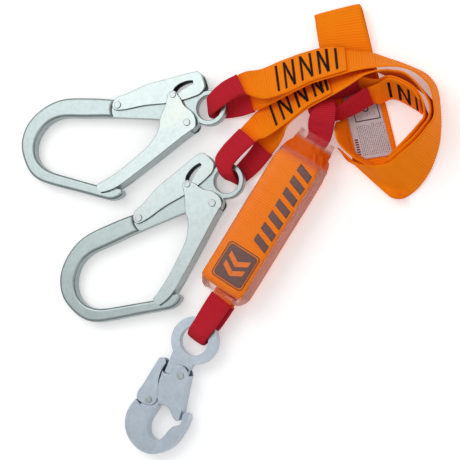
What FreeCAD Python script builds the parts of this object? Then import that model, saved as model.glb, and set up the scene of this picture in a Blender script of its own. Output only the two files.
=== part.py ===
import FreeCAD, Part
import math
import os

# Twin-leg shock absorbing lanyard: two scaffold hooks, one snap hook, flat webbing legs,
# wear sleeves in the eyes and a pack absorber, lying on a surface.
# Millimetres. Z is up and Z = 0 is that surface. The origin is under the middle of the whole.

os.makedirs("parts", exist_ok=True)
Vector = FreeCAD.Vector

# ---- driving dimensions -------------------------------------------------
# webbing and sleeves
WEB_T = 2.0             # webbing thickness
EYE_WEB_T = 2.3         # folded webbing inside a sleeve
EYE_WEB_INSET = 1.3     # each side, between sleeve edge and webbing edge
FOLD_RUN = 3.0          # splined stations over which flat webbing becomes folded
SLEEVE_T = 4.4          # flattened wear sleeve, outside thickness
SLEEVE_WALL = 0.7
BORE_OVERRUN = 1.5      # the sleeve bore runs this far past each end
SPAN_STEPS = 3          # splined stations per span of a strap table
THREAD_R = 0.32
THREAD_GAP = 0.10       # stitch thread above the webbing face

# pins and rivets, shared by all hooks
PIN_R = 2.0
PIN_CLEAR = 0.06        # radial running clearance
HEAD_GAP = 0.02         # between rivet head and side plate
THROUGH = 9.0           # half length of cutters that pass right through a hook

# scaffold hook
SPINE_T = 8.0           # plate thickness at spine and eye
BOW_T = 12.0            # thickness round the bow and nose
HOOK_EYE_R = 16.8
HOOK_HOLE_R = 11.75
SHEET = 1.6             # sheet thickness of gate and lever
LEVER_IN = 4.4          # lever side plates, inner and outer half heights
LEVER_OUT = LEVER_IN + SHEET
GATE_IN = 6.4           # gate side plates, likewise
GATE_OUT = GATE_IN + SHEET
GATE_PIVOT = (-19.0, -15.0)
LOCK_PIN = (-35.1, 11.1)
LEVER_PIVOT = (-91.2, 1.0)
WALL_CLEAR_R = 9.0      # gate wall is cut back this far round the gate pivot
GATE_OPEN = 36.0        # degrees
LEVER_RATIO = 1.0 / 6.0  # lever turn per gate turn
SLOT_STEPS = 24
SLOT_CLEAR = 0.25
SPRING_R = 5.4          # gate spring, coil radius
SPRING_WIRE_R = 0.45
SPRING_PITCH = 0.8
SPRING_LIFT = 0.56      # first coil centre above the spine plate
LEAF_T = 0.9            # lever spring
LEAF_HALF_W = 3.2

# snap hook
SNAP_NECK_T = 8.0
SNAP_BOW_T = 12.0
SNAP_EYE_T = 9.0
SNAP_EYE_R = 22.2
SNAP_HOLE_R = 13.7
SNAP_GATE_PIVOT = (-34.2, -1.2)
SNAP_LEVER_PIVOT = (-66.5, 19.9)
SNAP_GATE_IN, SNAP_GATE_OUT = 6.3, 7.6      # side plate half heights
SNAP_LEVER_IN, SNAP_LEVER_OUT = 4.3, 5.8

# absorber pack
PACK_L, PACK_W = 139.0, 43.6
PACK_CENTRE = (38.5, 2.4, 19.2)
PACK_DIR = (0.5447, 0.8386)     # plan direction of the pack's length
CORE_W = PACK_W - 1.6
CORE_HALF_L = PACK_L / 2 - 6    # straight part of a fold
LAYERS = 12
LAYER_T = 2.1
LAYER_GAP = 0.35
COVER_L, COVER_W, COVER_H = 142.0, 44.0, 33.2
COVER_R, COVER_T = 7.0, 1.15
FILM_T = 0.5
FILM_OVERRUN = 2.0      # the film bore runs this far past each end
PRINT_Z = COVER_H / 2 + 0.02
PRINT_T = 0.16

LABEL_Z, LABEL_T = 2.30, 0.35
LABEL = [(121.3, 59.2), (113.9, 94.3), (106.7, 125.5), (137.4, 130.1), (143.6, 111.1), (154.3, 62.6)]

# hook frames: eye centre, plan angle of the bow-to-eye direction, upward tilt of the eye end
HOOK_A = ((-16.0, 113.6, 12.0), -4.5, 1.7)
HOOK_B = ((1.1, 44.0, 12.0), 20.8, 1.7)
SNAP = ((-29.9, -102.7, 11.0), 67.3, 2.0)

# moves everything so the origin is under the middle of the overall box
ORIGIN_SHIFT = (4.75, 0.6, 0.05)

# strap stations: centre x, y, z, then the width vector x, y, z (its length is the width)
LEG_A = [
    (116.6, 147.9, 29.3, 8.3, -29.4, 32.9), (102.7, 147.3, 28.4, 8.6, -33.1, 29.3),
    (82.0, 143.8, 25.9, 9.7, -34.2, 27.6), (59.4, 137.3, 22.1, 9.6, -36.3, 24.8),
    (37.6, 131.8, 19.7, 11.2, -32.7, 22.0), (24.5, 131.8, 21.0, 11.5, -25.9, 6.0),
    (14.0, 131.8, 21.6, 9.3, -18.2, 1.0), (2.0, 126.2, 21.2, 9.1, -17.8, 0.0),
    (-8.0, 119.2, 20.6, 8.4, -16.6, 0.0), (-13.7, 115.1, 18.2, 6.0, -16.4, 0.0),
    (-16.0, 113.5, 12.0, 0.6, -17.0, 0.0), (-13.6, 113.5, 5.9, -1.5, -17.3, 0.0),
    (-8.0, 114.3, 3.3, 0.6, -18.6, 0.0), (4.0, 115.2, 3.2, 1.7, -19.9, 0.0),
    (16.0, 117.2, 4.6, 4.4, -20.8, 3.0), (27.0, 120.5, 8.2, 8.2, -22.6, 7.0),
    (42.0, 127.5, 13.6, 9.5, -29.1, 17.0), (60.1, 136.0, 20.0, 9.6, -36.3, 24.8),
    (82.6, 142.4, 24.0, 9.7, -34.2, 27.6), (103.1, 145.7, 26.5, 8.6, -33.1, 29.3),
    (121.3, 146.2, 28.0, 8.2, -28.2, 34.1), (141.2, 145.2, 28.0, 8.3, -22.6, 38.0),
    (158.6, 141.4, 27.0, 5.7, -15.9, 41.7), (174.0, 136.2, 26.0, 2.8, -11.8, 43.3),
    (186.1, 128.7, 24.5, -1.1, -10.1, 43.8), (193.8, 118.3, 24.0, -1.3, -7.1, 44.4),
    (196.8, 103.3, 24.0, 0.0, -5.8, 44.6), (197.2, 89.3, 24.0, -0.4, -4.4, 44.8),
    (193.7, 77.4, 24.0, -5.9, 0.8, 44.6), (187.6, 65.3, 23.5, -11.6, 5.4, 43.2),
    (177.0, 51.3, 22.0, -17.9, 13.1, 39.1), (165.4, 40.5, 20.0, -20.8, 17.7, 35.7),
    (151.8, 36.7, 16.5, -29.8, 23.9, 29.1), (138.6, 39.6, 12.0, -44.8, 37.4, 0.0),
    (129.9, 45.6, 9.6, -47.3, 45.5, 0.0), (127.6, 47.9, 6.0, -47.9, 46.2, 0.0),
    (128.6, 46.8, 2.6, -47.5, 45.8, 0.0), (134.5, 45.1, 1.3, -46.3, 28.7, 0.0),
    (137.9, 52.2, 1.2, -43.7, 15.8, 0.0), (136.2, 67.4, 1.2, -42.1, 4.0, 0.0),
    (130.5, 87.1, 1.2, -43.3, -5.0, 0.0), (124.4, 112.1, 1.2, -43.6, -7.6, 0.0),
    (118.2, 139.1, 1.2, -43.8, -6.4, 0.0), (112.9, 162.4, 1.4, -44.0, -7.2, 0.0),
    (107.8, 186.6, 2.6, -44.2, -6.0, 0.0), (105.2, 198.2, 4.2, -43.8, -6.9, 0.0),
    (104.5, 200.1, 7.0, -42.5, -7.4, 0.0), (105.8, 196.6, 9.8, -42.6, -7.0, 0.0),
    (108.3, 183.4, 11.0, -44.3, -4.1, 0.0), (111.1, 168.8, 8.6, -46.6, -0.3, 0.0),
    (112.7, 158.7, 5.4, -47.5, 0.6, 0.0), (115.1, 147.6, 3.6, -45.6, 0.3, 0.0),
    (117.7, 135.8, 3.4, -45.5, -0.7, 0.0),
]
LEG_B = [
    (99.8, 130.3, 26.4, 12.5, -31.2, 30.0), (77.0, 120.6, 22.8, 14.1, -30.6, 29.9),
    (54.3, 107.1, 18.9, 16.2, -31.4, 27.9), (34.2, 94.6, 15.0, 13.8, -27.0, 18.5),
    (25.5, 87.5, 18.0, 16.8, -15.7, 7.0), (16.0, 78.5, 20.6, 14.7, -14.2, 1.0),
    (6.0, 68.5, 21.2, 14.9, -13.4, 0.0), (0.0, 59.5, 21.5, 16.6, -8.8, 0.0),
    (1.8, 51.0, 20.1, 14.9, -3.7, 0.0), (4.2, 45.2, 12.0, 13.0, -5.8, 0.0),
    (6.6, 45.8, 5.9, 13.3, -9.2, 0.0), (10.8, 50.8, 3.3, 14.2, -12.0, 0.0),
    (19.5, 58.5, 3.3, 14.6, -13.6, 0.0), (29.0, 68.0, 4.8, 15.6, -14.5, 3.0),
    (38.0, 78.5, 8.6, 17.6, -16.4, 7.0), (46.5, 92.0, 12.6, 18.9, -22.6, 17.0),
    (55.4, 105.9, 17.0, 16.2, -31.4, 27.9), (78.0, 119.3, 21.0, 14.1, -30.6, 29.9),
    (100.6, 128.8, 24.5, 12.5, -31.2, 30.0), (119.5, 135.6, 26.5, 10.8, -27.9, 33.6),
    (130.9, 137.1, 26.5, 7.1, -20.8, 39.3), (145.6, 135.0, 26.2, 6.5, -9.3, 43.5),
    (161.8, 129.9, 23.2, 0.0, 1.0, 45.0), (174.5, 124.9, 23.7, 1.0, 1.0, 45.0),
    (192.8, 102.8, 24.9, 0.0, -5.8, 44.6), (193.2, 89.8, 25.1, -0.4, -4.4, 44.8),
    (190.1, 78.9, 24.3, -5.9, 0.8, 44.6), (184.2, 67.5, 23.1, -11.6, 5.4, 43.2),
    (174.1, 54.1, 20.6, -17.9, 13.1, 39.1), (163.9, 44.4, 19.2, -19.9, 16.9, 34.1),
    (149.5, 45.8, 14.2, -9.0, 5.0, 17.0), (134.8, 53.2, 9.0, -5.0, -2.0, 11.0),
    (121.0, 62.3, 9.6, -4.5, -2.5, 12.5), (112.3, 71.1, 14.0, -7.9, 1.9, 22.0),
    (109.3, 82.5, 14.5, -7.2, -3.2, 23.7), (107.6, 90.2, 9.8, -8.5, -3.4, 13.4),
    (106.7, 95.2, 5.9, -7.5, -2.0, 5.5),
]
CENTRE = [
    (182.7, 100.9, 23.6, 3.6, 4.6, 43.8), (176.4, 108.1, 23.5, 4.5, 8.8, 42.0),
    (166.0, 115.0, 24.0, 3.9, 9.8, 41.0), (155.4, 118.8, 23.2, 2.8, 10.0, 38.0),
    (143.8, 115.3, 19.5, 1.3, 13.4, 22.0), (137.4, 114.6, 20.0, -2.4, 11.7, 18.5),
    (122.0, 106.8, 20.0, -0.2, 12.9, 17.2), (107.2, 101.0, 18.6, 5.0, 11.6, 14.4),
    (97.4, 100.2, 18.4, 3.2, 7.4, 12.8), (87.0, 100.8, 18.4, 2.4, 6.4, 12.6),
    (80.6, 106.2, 18.0, 1.4, 5.4, 12.6), (84.4, 113.4, 17.6, 1.0, 5.4, 12.0),
    (96.4, 118.0, 18.2, 0.6, 7.0, 14.0), (111.9, 121.8, 19.0, -0.1, 9.8, 17.0),
    (127.2, 125.9, 19.5, -1.0, 10.7, 18.0), (144.3, 120.3, 19.0, 1.3, 13.4, 22.0),
    (155.4, 121.6, 23.0, 2.8, 10.0, 38.0), (166.6, 117.4, 23.5, 3.9, 9.8, 41.0),
    (177.5, 110.0, 23.0, 4.5, 8.8, 42.0), (184.5, 102.1, 23.1, 3.6, 4.6, 43.8),
    (188.7, 90.4, 24.2, -0.4, -4.4, 44.8), (186.1, 80.5, 23.9, -5.9, 0.8, 44.6),
    (180.8, 69.8, 23.1, -11.6, 5.4, 43.2), (172.3, 56.3, 20.9, -17.5, 12.9, 38.4),
    (164.4, 49.0, 19.5, -18.6, 15.0, 33.0),
]
UPPER_LOOP = [
    (77.7, 62.8, 21.6, 19.2, -12.0, 0.0), (80.6, 66.4, 22.6, 19.6, -11.3, 0.0),
    (90.2, 79.2, 20.9, 20.9, -6.8, 0.0), (92.0, 85.7, 24.5, 23.3, -5.8, 0.0),
    (94.1, 92.9, 28.9, 24.0, -4.3, 0.0), (95.8, 99.0, 30.4, 23.0, -2.6, 0.0),
    (97.2, 105.0, 29.9, 20.5, -1.5, 0.0), (98.0, 109.9, 27.7, 17.0, -1.2, 0.0),
    (98.2, 111.4, 23.8, 16.8, -1.2, 0.0), (97.4, 108.4, 18.2, 16.4, -1.2, 0.0),
    (95.8, 104.6, 12.2, 16.8, -1.2, 0.0), (93.6, 100.2, 7.0, 18.4, -2.0, 0.0),
    (90.6, 94.0, 5.3, 20.4, -3.7, 0.0), (88.4, 87.0, 8.0, 21.0, -5.3, 0.0),
    (88.2, 80.2, 13.0, 20.9, -6.8, 0.0), (80.6, 66.4, 16.8, 19.6, -11.3, 0.0),
    (77.7, 62.8, 17.4, 19.2, -12.0, 0.0),
]
LOWER_LOOP = [
    (1.9, -60.3, 21.0, 18.4, -13.2, 0.0), (-3.5, -67.5, 20.8, 18.4, -13.8, 0.0),
    (-11.5, -78.5, 20.4, 18.0, -13.5, 0.0), (-19.5, -89.5, 19.8, 16.8, -12.6, 0.0),
    (-26.0, -97.6, 17.6, 16.2, -11.8, 0.0), (-28.9, -101.2, 11.0, 16.4, -11.5, 0.0),
    (-25.8, -97.4, 4.9, 16.4, -11.5, 0.0), (-18.0, -87.5, 3.2, 17.0, -12.3, 0.0),
    (-10.0, -76.5, 3.4, 17.6, -13.2, 0.0), (-3.0, -67.0, 6.5, 18.0, -13.5, 0.0),
    (1.8, -60.5, 12.3, 18.4, -13.2, 0.0),
]

# webbing node, sleeve node, table, folded range (None: whole length), sleeve range;
# ranges count splined stations
STRAPS = [
    ("leg_a_webbing", "leg_a_eye_sleeve", LEG_A, (17, 44), (17, 44)),
    ("leg_b_webbing", "leg_b_eye_sleeve", LEG_B, (13, 41), (13, 41)),
    ("centre_webbing", "centre_eye_sleeve", CENTRE, (15, 42), (15, 42)),
    ("absorber_upper_webbing", "absorber_upper_sleeve", UPPER_LOOP, None, (4, 42)),
    ("absorber_lower_webbing", "absorber_lower_sleeve", LOWER_LOOP, None, (2, 27)),
]
# cross stitches: node, table, places in splined stations, share of the width, side of the strap
STITCHES = [
    ("leg_a_stitching", LEG_A, [1.86, 3.42, 4.59, 5.64, 6.90, 7.89, 9.0, 10.02], 0.84, 1),
    ("leg_b_stitching", LEG_B, [0.30, 0.90, 1.83, 2.88, 3.96, 4.92, 6.0, 7.05], 0.84, 1),
    ("centre_stitching", CENTRE, [1.35, 4.05, 6.45, 9.0], 0.80, -1),
]


# ---- shape helpers ------------------------------------------------------
def point(p):
    return Vector(p[0], p[1], 0)


def spline(points):
    curve = Part.BSplineCurve()
    curve.interpolate([point(p) for p in points])
    return curve.toShape()


def lines(points):
    return [Part.makeLine(point(a), point(b)) for a, b in zip(points[:-1], points[1:])]


def face(edges):
    return Part.Face(Part.Wire(Part.__sortEdges__(edges)))


def spline_face(*curves):
    return face([spline(c) for c in curves])


def strip_face(first, second):
    """Strip between two curves that run the same way, closed by straight ends."""
    return face([spline(first)] + lines([first[-1], second[-1]])
                + [spline(second[::-1])] + lines([second[0], first[0]]))


def shifted(points, dx, dy):
    return [(x + dx, y + dy) for x, y in points]


def offset_left(points, distance):
    """Points moved to the left of the direction of travel."""
    moved = []
    for i, (x, y) in enumerate(points):
        before = points[max(i - 1, 0)]
        after = points[min(i + 1, len(points) - 1)]
        dx, dy = after[0] - before[0], after[1] - before[1]
        length = math.hypot(dx, dy)
        moved.append((x - dy / length * distance, y + dx / length * distance))
    return moved


def slab(flat, z0, z1):
    flat = flat.copy()
    flat.translate(Vector(0, 0, z0))
    return flat.extrude(Vector(0, 0, z1 - z0))


def prism(points, z, height):
    """Straight-sided plate over an x, y outline."""
    corners = [Vector(x, y, z) for x, y in points]
    return Part.Face(Part.makePolygon(corners + [corners[0]])).extrude(Vector(0, 0, height))


def disc(p, r, z0, z1):
    return Part.makeCylinder(r, z1 - z0, Vector(p[0], p[1], z0))


def rod(a, b, r):
    axis = b - a
    return Part.makeCylinder(r, axis.Length, a, axis)


def pin_hole(p):
    return disc(p, PIN_R + PIN_CLEAR, -THROUGH, THROUGH)


def one(shape):
    """Keep the largest solid of a boolean result."""
    return sorted(shape.removeSplitter().Solids, key=lambda s: -s.Volume)[0]


def outward(shape):
    """Turn an inside-out shape the right way round."""
    if shape.Volume < 0:
        shape.reverse()
    return shape


def at_height(z, longer=1.0, tol=0.02):
    """Edge test: flat edges at +z or -z above a given length."""
    def keep(edge):
        b = edge.BoundBox
        return (abs(abs(b.ZMin) - z) < tol and abs(abs(b.ZMax) - z) < tol
                and b.ZMax - b.ZMin < tol and edge.Length > longer)
    return keep


def eye_rims(z):
    """Edge test: circles round the eye centre at +z or -z."""
    def keep(edge):
        if not at_height(z)(edge):
            return False
        c = edge.Curve
        return isinstance(c, Part.Circle) and abs(c.Center.x) < 0.1 and abs(c.Center.y) < 0.1
    return keep


def soften(shape, radius, keep):
    """Round the chosen edges, or failing that bevel them, at the largest size that works."""
    edges = [e for e in shape.Edges if keep(e)]
    tries = [(shape.makeFillet, share) for share in (1.0, 0.7, 0.45)]
    tries += [(shape.makeChamfer, share) for share in (0.6, 0.35)]
    for operation, share in tries:
        # the kernel may refuse a size on spline outlines: go on to the next
        try:
            result = operation(radius * share, edges)
            if result.isValid() and result.Volume > 0:
                return result
        except Exception:
            pass
    return shape


def channel(side, wall, z_in, z_out):
    """Two side plates joined by a wall."""
    plates = slab(side, -z_out, -z_in).fuse(slab(side, z_in, z_out))
    return one(plates.fuse(wall))


def rivet(p, plate_out, head_r, head_h):
    half = plate_out + HEAD_GAP
    body = disc(p, PIN_R, -half - 0.2, half + 0.2)
    body = body.fuse(disc(p, head_r, half, half + head_h))
    body = body.fuse(disc(p, head_r, -half - head_h, -half))
    return soften(one(body), head_h * 0.55, at_height(half + head_h))


def moved(shape, origin, rotation):
    result = shape.copy()
    result.Placement = FreeCAD.Placement(Vector(*origin), rotation).multiply(result.Placement)
    return result


def place_hook(shape, frame):
    eye, yaw, tilt = frame
    turn = FreeCAD.Rotation(Vector(0, 0, 1), yaw)
    return moved(shape, eye, turn.multiply(FreeCAD.Rotation(Vector(0, 1, 0), -tilt)))


def place_pack(shape):
    angle = math.degrees(math.atan2(PACK_DIR[1], PACK_DIR[0]))
    return moved(shape, PACK_CENTRE, FreeCAD.Rotation(Vector(0, 0, 1), angle))


# ---- scaffold hook, in its own frame (eye at the origin, bow on -x) -----
# All outlines are x, y points.
BOW_OUTER = [
    (-95, 6.4), (-108.4, 7.4), (-123.3, 7.7), (-137.1, 7.6), (-148.6, 6.5), (-159.5, 3.1),
    (-170.1, -3), (-179.3, -11.1), (-185.8, -20.3), (-188.9, -29.6), (-189.6, -39.7),
    (-187, -49.8), (-182.3, -59.6), (-175.7, -68), (-166.8, -73.7), (-154.6, -77.4),
    (-140.6, -80.4), (-123.1, -83.8), (-104.4, -87.8), (-95.0, -89.6)]
BOW_LIP = [(-95.0, -89.6), (-90.6, -89.9), (-86.3, -89), (-81.6, -86.8), (-79.0, -84.2)]
BOW_NOSE = [
    (-79.0, -84.2), (-81.2, -80.0), (-85.0, -79.7), (-92.0, -82.9), (-100.2, -84.4),
    (-102.8, -77.4), (-106.8, -76.2)]
BOW_INNER = [
    (-95.0, -10.5), (-107, -10.5), (-126.6, -11), (-136.2, -11), (-146.2, -11.2),
    (-155.5, -13.4), (-163.5, -18), (-169.5, -24.8), (-173.3, -32.4), (-174.7, -41.1),
    (-172.6, -50.8), (-166.5, -58.6), (-158.7, -63.4), (-147.6, -66.9), (-131.4, -70.6),
    (-116.5, -74), (-106.8, -76.2)]
BOW_SHOULDER = [(-95.0, 6.4), (-97.6, -2.0), (-95.0, -10.5)]


def hook_spine():
    upper = [
        (-8.0, 12.5), (-14.0, 9.9), (-22.0, 8.2), (-34.0, 7.0), (-60.0, 6.6), (-92.0, 6.4),
        (-104.0, 7.0)]
    lower = [
        (-104.0, -10.4), (-85.0, -10.5), (-64.0, -10.9), (-51.0, -11.3), (-42.0, -12.6),
        (-34.0, -16.0), (-27.0, -20.6)]
    pivot_boss = [
        (-27.0, -20.6), (-23.6, -22.4), (-19.0, -23.2), (-14.6, -22.2), (-11.2, -18.8),
        (-8.0, -13.6)]
    outline = face([spline(upper)] + lines([upper[-1], lower[0]])
                   + [spline(lower), spline(pivot_boss)] + lines([pivot_boss[-1], upper[0]]))
    return slab(outline, -SPINE_T / 2, SPINE_T / 2)


def hook_body():
    half = SPINE_T / 2
    bow_half = BOW_T / 2
    eye = disc((0, 0), HOOK_EYE_R, -half, half)
    bow_face = face([spline(BOW_OUTER), spline(BOW_LIP)] + lines(BOW_NOSE)
                    + [spline(BOW_INNER), spline(BOW_SHOULDER)])
    bow = soften(slab(bow_face, -bow_half, bow_half), 2.6, at_height(bow_half, longer=12))
    body = one(hook_spine().fuse([eye, bow]))
    body = body.cut(disc((0, 0), HOOK_HOLE_R, -half - 1, half + 1))
    body = body.cut(pin_hole(GATE_PIVOT))
    body = body.cut(pin_hole(LEVER_PIVOT))
    return soften(one(body), 2.2, eye_rims(half))


def gate_body():
    inner = [
        (-46.8, -14), (-46.8, -21.1), (-49.4, -27.8), (-54.4, -36), (-63.2, -45.2),
        (-73.1, -53.9), (-84.6, -63.3), (-94.8, -70.2), (-104.6, -75.9)]
    tip = [(-104.6, -75.9), (-103.4, -80.6), (-99.2, -83.5)]
    outer = [
        (-99.2, -83.5), (-92.2, -81.8), (-84.9, -78.4), (-67.5, -65.6), (-48.6, -50.4),
        (-29.3, -34.3), (-14.2, -22.4)]
    pivot_end = [
        (-14.2, -22.4), (-10.6, -19.2), (-10.2, -14.0), (-12.2, -8.4), (-16.6, -3.4),
        (-22.8, 1.0), (-27.5, 8.0), (-30.4, 11.0)]
    pin_ear = [(-30.4, 11.0), (-32.2, 13.8), (-35.4, 15.3), (-38.9, 13.6), (-40.6, 10.6)]
    ear_side = [(-40.6, 10.6), (-40.9, 6.0), (-43.6, -4.0), (-46.8, -14)]
    side = spline_face(inner, tip, outer, pivot_end, pin_ear, ear_side)
    wall_line = outer[2:]
    wall = slab(strip_face(wall_line, offset_left(wall_line, SHEET)), -GATE_OUT, GATE_OUT)
    # keep the wall clear of the pivot boss
    wall = wall.cut(disc(GATE_PIVOT, WALL_CLEAR_R, -GATE_IN, GATE_IN))
    gate = channel(side, wall, GATE_IN, GATE_OUT)
    for p in (GATE_PIVOT, LOCK_PIN):
        gate = gate.cut(pin_hole(p))
    return soften(one(gate), 0.6, at_height(GATE_OUT, longer=14))


def rotated(p, centre, degrees):
    a = math.radians(degrees)
    x, y = p[0] - centre[0], p[1] - centre[1]
    return (centre[0] + x * math.cos(a) - y * math.sin(a),
            centre[1] + x * math.sin(a) + y * math.cos(a))


def pin_path():
    """Lock pin places, seen from the turning lever, as the gate opens."""
    path = []
    for i in range(SLOT_STEPS + 1):
        turn = GATE_OPEN * i / SLOT_STEPS
        p = rotated(LOCK_PIN, GATE_PIVOT, -turn)
        path.append(rotated(p, LEVER_PIVOT, turn * LEVER_RATIO))
    return path


def lever_body():
    upper = [
        (-95.6, 5.2), (-93.6, 8.2), (-87.3, 10.6), (-74, 16.4), (-61.2, 21.8), (-49, 25.2),
        (-36.6, 28.5), (-24.3, 31.8), (-13.8, 34.2)]
    eye_end = [
        (-13.8, 34.2), (-9.6, 31.6), (-6.6, 25.4), (-4.9, 19.6), (-6.8, 15.2), (-11.4, 11.4)]
    lower = [
        (-11.4, 11.4), (-18.5, 8.6), (-26.6, 6.2), (-44.5, 2.8), (-59.5, 1.4), (-71.1, -0.6),
        (-85.7, -3.6), (-92.3, -3.9)]
    pivot_end = [(-92.3, -3.9), (-96.2, -1.6), (-97.0, 1.8), (-95.6, 5.2)]
    side = spline_face(upper, eye_end, lower, pivot_end)
    wall_line = upper[3:]
    wall = slab(strip_face(wall_line, offset_left(wall_line, -SHEET)), -LEVER_OUT, LEVER_OUT)
    lever = channel(side, wall, LEVER_IN, LEVER_OUT)
    lever = soften(lever, 0.6, at_height(LEVER_OUT, longer=14))
    # lock slot: the path of the pin, opened up to an arc-shaped window
    cuts = [disc(p, PIN_R + SLOT_CLEAR, -THROUGH, THROUGH) for p in pin_path()]
    window_upper = [(-36.9, 13.6), (-35.0, 18.4), (-29.8, 22.6), (-23, 25.1), (-16.9, 25.7)]
    window_lower = [(-33.6, 10.2), (-29.2, 14.4), (-23.0, 18.6), (-16.6, 21.6)]
    window = slab(strip_face(window_upper, window_lower), -THROUGH, THROUGH)
    return one(lever.cut(cuts + [window, pin_hole(LEVER_PIVOT)]))


def gate_spring():
    """Torsion spring between spine and upper gate plate: two closed turns and a tail."""
    x, y = GATE_PIVOT
    z = SPINE_T / 2 + SPRING_LIFT
    spring = Part.makeTorus(SPRING_R, SPRING_WIRE_R, Vector(x, y, z))
    spring = spring.fuse(Part.makeTorus(SPRING_R, SPRING_WIRE_R, Vector(x, y, z + SPRING_PITCH)))
    start = Vector(x - SPRING_R, y, z + SPRING_PITCH / 2)
    return one(spring.fuse(rod(start, start + Vector(-1.2, -3.6, 0.0), SPRING_WIRE_R)))


def lever_spring():
    """Bent leaf: foot along the +y edge of the spine, free end rising under the lever."""
    under = [(-74.0, 6.75), (-66.0, 6.95), (-58.0, 8.2), (-52.0, 10.4), (-46.5, 13.6)]
    return slab(strip_face(under, shifted(under, -0.1, LEAF_T)), -LEAF_HALF_W, LEAF_HALF_W)


def scaffold_hook():
    return {
        "body": hook_body(),
        "gate": gate_body(),
        "lock_lever": lever_body(),
        "gate_rivet": rivet(GATE_PIVOT, GATE_OUT, head_r=3.4, head_h=1.0),
        "lever_rivet": rivet(LEVER_PIVOT, LEVER_OUT, head_r=3.4, head_h=1.0),
        "lock_pin": rivet(LOCK_PIN, GATE_OUT, head_r=3.0, head_h=0.9),
        "gate_spring": gate_spring(),
        "lever_spring": lever_spring(),
    }


# ---- snap hook, in its own frame (eye at the origin, bow on -x) ---------
def snap_bow():
    outer = [
        (-70.5, 31.6), (-78.4, 34.3), (-84.9, 35.2), (-95.8, 32.8), (-104.1, 27.1),
        (-110.5, 16.9), (-112.6, 6.7), (-110.8, -2.8), (-104.6, -11.6), (-95.5, -18),
        (-86.7, -20.9), (-78.0, -22.6)]
    inner = [
        (-67.5, 9.3), (-78, 11.4), (-84.9, 12.3), (-90.9, 11.0), (-96.4, 7.2), (-98.4, 1.6),
        (-97.0, -3.0), (-92, -6.4), (-85.8, -8.4), (-79.6, -11.6)]
    neck_end = [(-70.5, 31.6), (-73.4, 26.2), (-73.4, 15.4), (-67.5, 9.3)]
    nose = [
        (-79.6, -11.6), (-76.8, -15.6), (-74.9, -17.4), (-66.4, -15.9), (-64.0, -17.2),
        (-64.4, -21.0), (-67.8, -22.8), (-78.0, -22.6)]
    half = SNAP_BOW_T / 2
    outline = face([spline(outer), spline(inner)] + lines(neck_end) + lines(nose))
    return soften(slab(outline, -half, half), 2.6, at_height(half, longer=25))


def snap_body():
    half = SNAP_NECK_T / 2
    eye_half = SNAP_EYE_T / 2
    neck = [
        (-12, 15.6), (-26.6, 15.6), (-60, 15.2), (-71.0, 16.2), (-71.0, 23.6), (-66.5, 24.9),
        (-62.6, 23.8), (-60.4, 21.0), (-60, 6.0), (-44, 6.4), (-40.2, 2.6), (-38.0, -3.6),
        (-33.6, -6.0), (-28.6, -5.2), (-12, -9.5), (-12, 15.6)]
    # joins the neck to the bow
    bridge = [
        (-66, 9.6), (-80, 12.2), (-80, 26), (-73, 26), (-66.5, 24.9), (-62.6, 23.8),
        (-60.4, 21.0), (-60, 9.0), (-66, 9.6)]
    neck_plate, bridge_plate = [slab(face(lines(p)), -half, half) for p in (neck, bridge)]
    eye = disc((0, 0), SNAP_EYE_R, -eye_half, eye_half)
    body = one(eye.fuse([neck_plate, snap_bow(), bridge_plate]))
    eye_hole = disc((0, 0), SNAP_HOLE_R, -THROUGH, THROUGH)
    body = body.cut([eye_hole, pin_hole(SNAP_GATE_PIVOT), pin_hole(SNAP_LEVER_PIVOT)])
    return soften(one(body), 3.2, eye_rims(eye_half))


def snap_gate():
    eye_end = [
        (-36.0, 17.2), (-37.6, 11.0), (-36.2, 8.4), (-31.0, 8.6), (-27.2, 5.2), (-25.4, 0.2),
        (-27.2, -4.9), (-31.8, -8.3)]
    lower = [(-31.8, -8.3), (-40.2, -9.6), (-53.2, -12.0), (-65.3, -14.3), (-72.4, -15.0)]
    tip = [
        (-72.4, -15.0), (-73.6, -12.9), (-73.3, -11.1), (-69.5, -6.1), (-66, -1.8),
        (-65.0, 3.2), (-66.6, 7.8)]
    upper = [(-66.6, 7.8), (-62.1, 11.8), (-48, 16.2), (-36.0, 17.2)]
    side = spline_face(eye_end, lower, tip, upper)
    wall = slab(strip_face(lower, shifted(lower, -0.2, 1.4)), -SNAP_GATE_OUT, SNAP_GATE_OUT)
    gate = channel(side, wall, SNAP_GATE_IN, SNAP_GATE_OUT)
    gate = one(gate.cut(pin_hole(SNAP_GATE_PIVOT)))
    return soften(gate, 0.5, at_height(SNAP_GATE_OUT, longer=14))


def snap_lever():
    upper = [(-26.6, 24.7), (-40.0, 27.4), (-55.0, 30.2), (-66.9, 32.2), (-70.3, 30.6)]
    bow_end = [(-70.3, 30.6), (-71.6, 20.4), (-69.4, 14.8), (-64.1, 12.4)]
    lower = [(-64.1, 12.4), (-55.0, 14.6), (-46.0, 17.6), (-36.0, 18.4), (-29.6, 17.0)]
    eye_end = [(-29.6, 17.0), (-26.0, 20.0), (-26.6, 24.7)]
    side = spline_face(upper, bow_end, lower, eye_end)
    wall_line = upper[:4]
    wall = slab(strip_face(wall_line, shifted(wall_line, -0.3, -1.5)),
                -SNAP_LEVER_OUT, SNAP_LEVER_OUT)
    lever = channel(side, wall, SNAP_LEVER_IN, SNAP_LEVER_OUT)
    lever = one(lever.cut(pin_hole(SNAP_LEVER_PIVOT)))
    return soften(lever, 0.5, at_height(SNAP_LEVER_OUT, longer=12))


def snap_hook():
    return {
        "body": snap_body(),
        "gate": snap_gate(),
        "lock_lever": snap_lever(),
        "gate_rivet": rivet(SNAP_GATE_PIVOT, SNAP_GATE_OUT, head_r=3.3, head_h=0.9),
        "lever_rivet": rivet(SNAP_LEVER_PIVOT, SNAP_LEVER_OUT, head_r=3.2, head_h=0.9),
    }


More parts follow.
